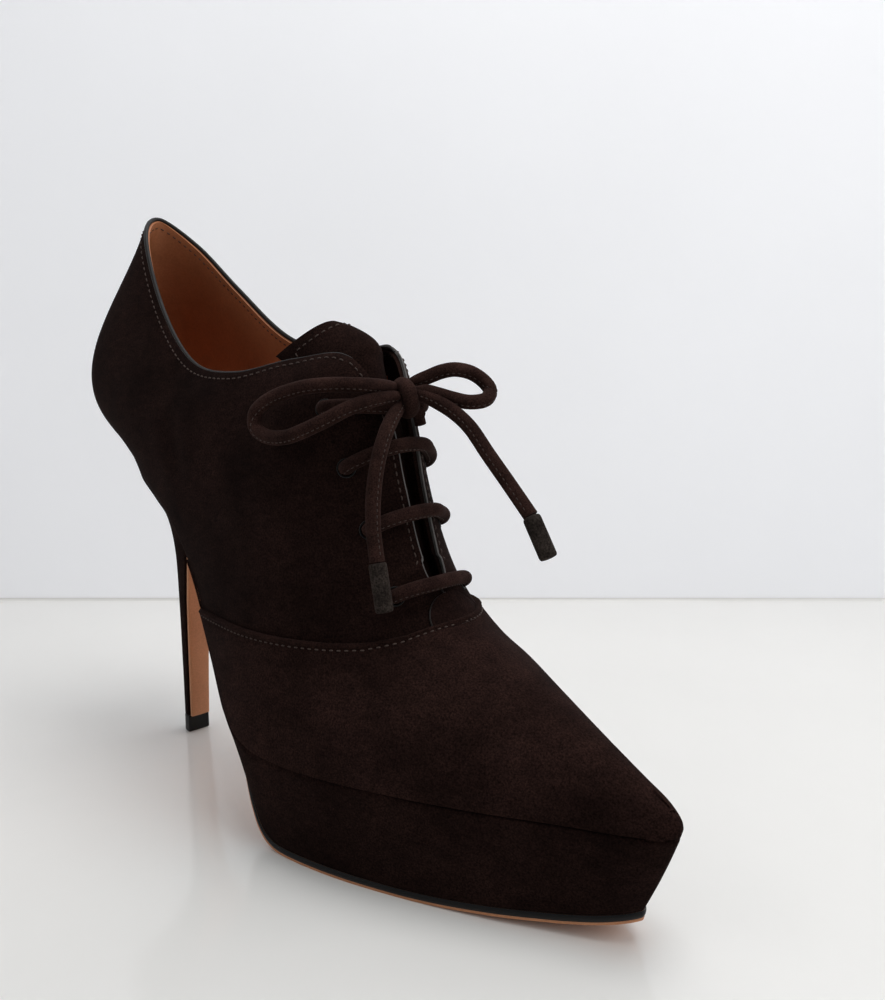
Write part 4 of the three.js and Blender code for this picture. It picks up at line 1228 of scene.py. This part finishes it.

# %% [markdown]
# ## Platform and sole
#
# The platform is a light core with suede drawn over it before it is cemented to the upper, so the joint
# is a crisp crease, with painted shade in it. A thin leather sole runs under it and up the arch. Its
# underside is tan, and its cut edge is inked black.

# %% Bottom of the shoe
SOLE_THICKNESS = 2.2
PLATFORM_LIP = 0.25
GROUND_TABLE = [
    [0.476, 1.0],
    [0.487, 0.81],
    [0.497, 0.63],
    [0.506, 0.47],
    [0.516, 0.32],
    [0.529, 0.17],
    [0.544, 0.07],
    [0.562, 0.015],
    [0.583, 0],
    [0.734, 0],
    [0.78, 0.012],
    [0.822, 0.037],
    [0.87, 0.075],
    [0.912, 0.125],
    [0.973, 0.235],
    [1.0, 0.3],
]
FLAT_FROM, FLAT_TO = 0.583, 0.734
INSET_TABLE = [
    [0.2, 0.06],
    [0.36, 0.08],
    [0.44, 0.07],
    [0.5, 0.045],
    [0.6, 0.03],
    [0.75, 0.02],
    [0.9, 0.01],
    [1.0, 0.006],
]
UNDERCUT_DEPTH, UNDERCUT_FROM = 0.032, 0.8
ARCH_END = 0.445
BREAST_AT = 0.272


def place_at_share(share):
    """The place among the ribs whose foot line is at a share of the shoe's length."""
    share = np.asarray(share, float)
    toe, back = np.zeros(share.shape), np.full(share.shape, float(LAST_RIB))
    return bisect(toe, back, lambda place: rib_values(place)["at"] <= share, 40)[0]


def arch_top(share):
    return PLATFORM_HEIGHT + rib_values(place_at_share(share))["rise"] * SEAT_RISE - GAP


def square_to(height_at, share, thickness):
    step = 0.004
    slope = (height_at(share + step) - height_at(share - step)) / (2 * step * SHOE_LENGTH)
    return thickness * np.hypot(1, slope)


def underside(share):
    share = np.asarray(share, float)
    ground = np.maximum(0, table_at(GROUND_TABLE, share) * PLATFORM_HEIGHT)
    ground = np.where((share >= FLAT_FROM) & (share <= FLAT_TO), 0, ground)
    arch = arch_top(share) - square_to(arch_top, share, SOLE_THICKNESS)
    f = np.clip((share - ARCH_END) / (GROUND_TABLE[0][0] - ARCH_END), 0, 1)
    waist = arch * (1 - f) + GROUND_TABLE[0][1] * PLATFORM_HEIGHT * f
    return np.where(share >= GROUND_TABLE[0][0], ground, waist)


def sole_top(share):
    return np.minimum(underside(share) + square_to(underside, share, SOLE_THICKNESS), arch_top(share))


def sole_edges(place):
    """The sole's place along the shoe and its outer and inner edge, seen from above."""
    outer, inner = skin(outer_turn(place), 0.0, 0.0), skin(inner_turn(place), 0.0, 0.0)
    share = length_share((outer[..., 0] + inner[..., 0]) / 2)
    under = np.maximum(0, (share - UNDERCUT_FROM) / (1 - UNDERCUT_FROM))
    x = along_length(share - UNDERCUT_DEPTH * under**3)
    inset = np.minimum(table_at(INSET_TABLE, share) * BALL_WIDTH, (inner[..., 1] - outer[..., 1]) / 6)
    return x, outer[..., 1] + inset, inner[..., 1] - inset


def outward(turns):
    """Level directions out of the shoe along its foot line."""
    return unit(last_normals(turns, 0.0) * np.array([1, 1, 0]))


# %% [markdown]
# The platform's side is one skin from the sole up to the upper, with a slight swell and a softly rounded
# top. The crease above it is a thin cord of suede darkened to paint the shade in the crease.

# %% Platform
SWELL = 0.35
PLATFORM_END = 9.75
EDGE_ROUND = 0.9
platform_places = np.concatenate([columns_between(0, 3, 40), columns_between(3.05, PLATFORM_END, 110)])
platform_turns = turns_round_toe(platform_places)
place, side = place_and_side(platform_turns)
x, outer_y, inner_y = sole_edges(place)
low = np.stack([x, np.where(side < 0, outer_y, inner_y), sole_top(length_share(x)) + GAP], axis=-1)
high = skin(platform_turns, 0.0, VAMP_STEP + PLATFORM_LIP) - np.array([0, 0, GAP])
out = outward(platform_turns)
tall = np.linalg.norm(high - low, axis=-1)
rows = [low - out * 3]
for f in np.linspace(0, 1, 26):
    row = low + (high - low) * f
    swell = SWELL * np.sin(math.pi * f) * np.minimum(1, tall / 12)
    rounding = np.minimum(EDGE_ROUND, tall / 4)
    from_top = tall * (1 - f)
    inward = np.clip(rounding - from_top, 0, None)
    tucked = 0.6 * (rounding - np.sqrt(rounding**2 - inward**2))
    rows.append(row + out * (swell - tucked)[:, None])
rows.append(high - out * 3.4 + np.array([0, 0, 0.05]))
platform = grid_piece("platform", np.array(rows), [upper_suede_painted_shade], smooth_angle=65)
settle(platform, "platform")

# The cord's suede is darkened to a third: painted shade in the crease.
CREASE_RADIUS = 0.42
crease = skin(platform_turns, 0.0, VAMP_STEP * 0.25) + np.array([0, 0, -0.15])
crease_line = resample(crease, 1.0)
crease_shade_cord = tube("platform_crease", crease_line, CREASE_RADIUS, [crease_painted_shade_suede], sides=8)
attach(crease_shade_cord, "root")

# %% [markdown]
# The sole is a closed sheet between the platform and the ground. The ink on its cut edge is a band laid
# round it, a little proud in the middle.

# %% Sole
breast_place = float(place_at_share(BREAST_AT))
sole_places = np.concatenate([
    np.array([0, 0.02, 0.06, 0.12]),
    columns_between(0.2, 3, 36),
    columns_between(3.05, breast_place, 130),
])
x, outer_y, inner_y = sole_edges(sole_places)
low_z, high_z = underside(length_share(x)), sole_top(length_share(x))
loop = []
for f in np.linspace(0, 1, 13):
    loop.append(np.stack([x, outer_y + (inner_y - outer_y) * f, low_z], axis=-1))
loop.append(np.stack([x, inner_y, high_z], axis=-1))
loop.append(np.stack([x, outer_y, high_z], axis=-1))
loop = np.stack(loop, axis=1)
outsole = grid_piece("outsole", loop, [sole_leather], closed=True, caps=True, smooth_angle=35)
settle(outsole, "outsole")

edge_turns = turns_round_toe(sole_places)
place, side = place_and_side(edge_turns)
x, outer_y, inner_y = sole_edges(place)
edge_low, edge_high = underside(length_share(x)), sole_top(length_share(x))
edge_at = np.stack([x, np.where(side < 0, outer_y, inner_y), edge_low], axis=-1)
out = outward(edge_turns)
rows = []
for f in np.linspace(0, 1, 7):
    height = (edge_high + GAP - edge_low) * (0.3 + 0.7 * f)
    rows.append(edge_at + np.array([0, 0, 1]) * height[:, None] + out * (0.06 + 0.3 * math.sin(math.pi * f)))
sole_edge = grid_piece("sole_edge", np.array(rows), [edge_paint], smooth_angle=60)
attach(sole_edge, "root")

# %% [markdown]
# ## Heel
#
# The heel block is moulded, covered with the same suede, and drawn in to a slim stem. Its flat front
# carries the sole leather on down to the lift, a small block of dark rubber.

# %% Heel
HEEL_TABLE = [
    [0.147, 0.252, 0.1745, 0.252, 0.056],
    [0.145, 0.462, 0.179, 0.458, 0.062],
    [0.14, 0.639, 0.1905, 0.618, 0.074],
    [0.128, 0.765, 0.2095, 0.71, 0.112],
    [0.109, 0.849, 0.2324, 0.765, 0.176],
    [0.089, 0.929, 0.2533, 0.803, 0.236],
]
HEEL_TIP = (0.148, 0.172, 0.052)
LIFT_HEIGHT = 6.2
HEEL_STEPS = 48


def heel_section(back, front, half):
    """A section with a flat front and a round back. back and front are (x, z)."""
    angle = math.pi * np.linspace(0, 1, HEEL_STEPS + 1)
    depth = np.sin(angle).clip(0, 1) ** 0.9
    across = -np.sign(np.cos(angle)) * abs(np.cos(angle)) ** 0.8
    return np.stack([
        front[0] + (back[0] - front[0]) * depth,
        across * half,
        front[1] + (back[1] - front[1]) * depth,
    ], axis=-1)


def heel_rim():
    f = 2 * np.linspace(0, 1, HEEL_STEPS + 1)
    place = breast_place + (LAST_RIB - breast_place) * (1 - abs(1 - f) ** 1.3)
    turn = np.where(f <= 1, outer_turn(place), inner_turn(place))
    return skin(turn, 0.0, 0.0) - np.array([0, 0, GAP])


tip_z = LIFT_HEIGHT + GAP
knots = [[HEEL_TIP[0], tip_z / SEAT_HEIGHT, HEEL_TIP[1], tip_z / SEAT_HEIGHT, HEEL_TIP[2]], *HEEL_TABLE]
knots = np.array(knots)
fine = []
for i in range(len(knots) - 1):
    a, b = knots[max(0, i - 1)], knots[i]
    c, d = knots[i + 1], knots[min(len(knots) - 1, i + 2)]
    fine += [smooth_between(a, b, c, d, f) for f in np.linspace(0, 1, 8, endpoint=False)]
fine.append(knots[-1])
sections = []
for back_at, back_up, front_at, front_up, half in fine:
    back = (along_length(back_at), back_up * SEAT_HEIGHT)
    front = (along_length(front_at), front_up * SEAT_HEIGHT)
    sections.append(heel_section(back, front, half * BALL_WIDTH))
rim = heel_rim()
last = sections[-1]
sections += [last + (rim - last) * f for f in (0.2, 0.4, 0.6, 0.8, 1.0)]
heel = grid_piece("heel", np.array(sections), [upper_suede_painted_shade], closed=True, caps=True, smooth_angle=50)
round_edges(heel, 0.5, 3, 50)
smooth(heel, 60)
settle(heel, "heel")

breast_rows = []
BREAST_THICKNESS = 1.3
front = np.array([[along_length(row[2]), row[3] * SEAT_HEIGHT, row[4] * BALL_WIDTH] for row in fine])
run = unit(np.gradient(front[:, :2], axis=0))
forward = np.stack([run[:, 1], 0 * run[:, 0], -run[:, 0]], axis=-1)
forward[0] = [1, 0, 0]
for (x, z, half), ahead in zip(front, forward):
    edge = half - 0.4
    y = np.linspace(-edge, edge, 11)
    crown = 0.25 * (1 - (y / edge) ** 2)
    flat = np.stack([0 * y + x, y, 0 * y + z], axis=-1)
    outside = flat + ahead * (1.5 * GAP + BREAST_THICKNESS + crown)[:, None]
    inside = flat + ahead * 1.5 * GAP
    breast_rows.append(np.concatenate([outside, inside[::-1]]))
breast = grid_piece("heel_breast", np.array(breast_rows), [sole_leather], closed=True, caps=True)
round_edges(breast, 0.3, 2, 50)
smooth(breast, 60)
settle(breast, "heel_breast")

grow = 0.15
lift_rows = []
for z, shrink in ((0, 0.35), (0.35, 0), (LIFT_HEIGHT * 0.5, 0), (LIFT_HEIGHT - 0.3, 0), (LIFT_HEIGHT, 0.25)):
    back = along_length(HEEL_TIP[0]) - grow + shrink
    lead = along_length(HEEL_TIP[1]) + grow - shrink
    lift_rows.append(heel_section((back, z), (lead, z), HEEL_TIP[2] * BALL_WIDTH + grow - shrink))
lift = grid_piece("heel_lift", np.array(lift_rows), [lift_rubber], closed=True, caps=True, smooth_angle=35)
settle(lift, "heel_lift")

# %% [markdown]
# ## Insole
#
# The sock lies on the insole board inside: soft lining leather, a little cupped, with a rounded edge.

# %% Insole
INSOLE_THICKNESS = 2.4
insole_places = columns_between(1, LAST_RIB - 0.12, 110)


def insole_edge(turn, rise):
    foot = skin(turn, 0.0, -WALL - GAP)

    def above(up):
        return skin(turn, up, -WALL - GAP)[:, 2] > foot[:, 2] + rise

    up, _ = bisect(np.full(turn.shape, 0.001), np.full(turn.shape, 0.5), above, 28)
    edge = skin(turn, up, -WALL - GAP)
    edge[:, 2] = foot[:, 2] + rise
    return edge


under = [skin(turn_at(insole_places), 0.0, -WALL - GAP) for turn_at in (outer_turn, inner_turn)]
over = [insole_edge(turn_at(insole_places), INSOLE_THICKNESS) for turn_at in (outer_turn, inner_turn)]
loop = [under[0], under[1]]
for f in np.linspace(1, 0, 17):
    cup = 0.5 * math.sin(math.pi * f)
    loop.append(over[0] + (over[1] - over[0]) * f - np.array([0, 0, cup]))
loop = np.stack(loop, axis=1)
insole = grid_piece("insole", loop, [lining_leather], closed=True, caps=True, smooth_angle=50)
settle(insole, "insole")

# %% [markdown]
# ## Floor and light
#
# The shoe stands on pale polished stone with a plain pale wall not far behind. Floor and wall are one
# sheet with a small round corner. The wall glows faintly, to be as bright and even as in the photograph.

# %% Floor and wall
WALL_AWAY = 537
FLOOR_REACH = 1500
view = unit([CAMERA_AIM[0], CAMERA_AIM[1], 0])
right = np.array([view[1], -view[0], 0])
base = np.array([CAMERA_AT[0], CAMERA_AT[1], 0])
CORNER = 2
corner = [
    (WALL_AWAY - CORNER + CORNER * math.sin(a), CORNER - CORNER * math.cos(a))
    for a in np.linspace(0, math.pi / 2, 9)
]
profile = [(-FLOOR_REACH, 0), *corner, (WALL_AWAY, FLOOR_REACH)]
rows = [
    [base + view * ahead + right * across + np.array([0, 0, up]) for across in (-FLOOR_REACH, 0, FLOOR_REACH)]
    for ahead, up in profile
]


def stone(name, colour, roughness, glow=0.0):
    material, nodes, links, shader = new_material(name)
    tints = [(0.35, shade(colour, 0.985)), (0.7, shade(colour, 1.01))]
    clouds = ramp(nodes, links, noise(nodes, links, 160, 5, 0.6), tints)
    links.new(clouds, shader.inputs["Base Color"])
    shader.inputs["Roughness"].default_value = roughness
    shader.inputs["Specular IOR Level"].default_value = 0.4
    shader.inputs["Emission Color"].default_value = (*colour, 1)
    shader.inputs["Emission Strength"].default_value = glow
    return material


pale_floor = stone("pale_floor", (0.86, 0.85, 0.825), 0.1)
pale_wall = stone("pale_wall", (0.88, 0.885, 0.91), 0.6, 0.19)
floor = grid_piece("floor", np.array(rows), [pale_floor, pale_wall], smooth_angle=60)
for face in floor.data.polygons:
    face.material_index = int(face.center.z > CORNER * MM)

# %% [markdown]
# The strongest light is a soft box overhead, with weaker ones on both sides, so the vamp's top is lit and
# the side falls off gently. The Standard view transform shows the suede as dark as it is.


# %% Light
LIGHTS_AIM = (-20, 0, 60)


def soft_box(name, at, size, power):
    data = bpy.data.lights.new(name, "AREA")
    data.shape = "DISK"
    data.size = size * MM
    data.energy = power
    light = bpy.data.objects.new(name, data)
    light.location = Vector(at) * MM
    light.rotation_euler = (Vector(LIGHTS_AIM) * MM - light.location).to_track_quat("-Z", "Y").to_euler()
    bpy.context.scene.collection.objects.link(light)


soft_box("overhead", (120, 60, 900), 620, 4.0)
soft_box("front_left", (-420, -700, 500), 700, 0.95)
soft_box("right", (700, 150, 500), 600, 1.8)
world = bpy.data.worlds.new("studio")
world.use_nodes = True
world.node_tree.nodes["Background"].inputs["Color"].default_value = (0.94, 0.97, 1.0, 1)
world.node_tree.nodes["Background"].inputs["Strength"].default_value = 0.19
bpy.context.scene.world = world
bpy.context.scene.view_settings.view_transform = "Standard"
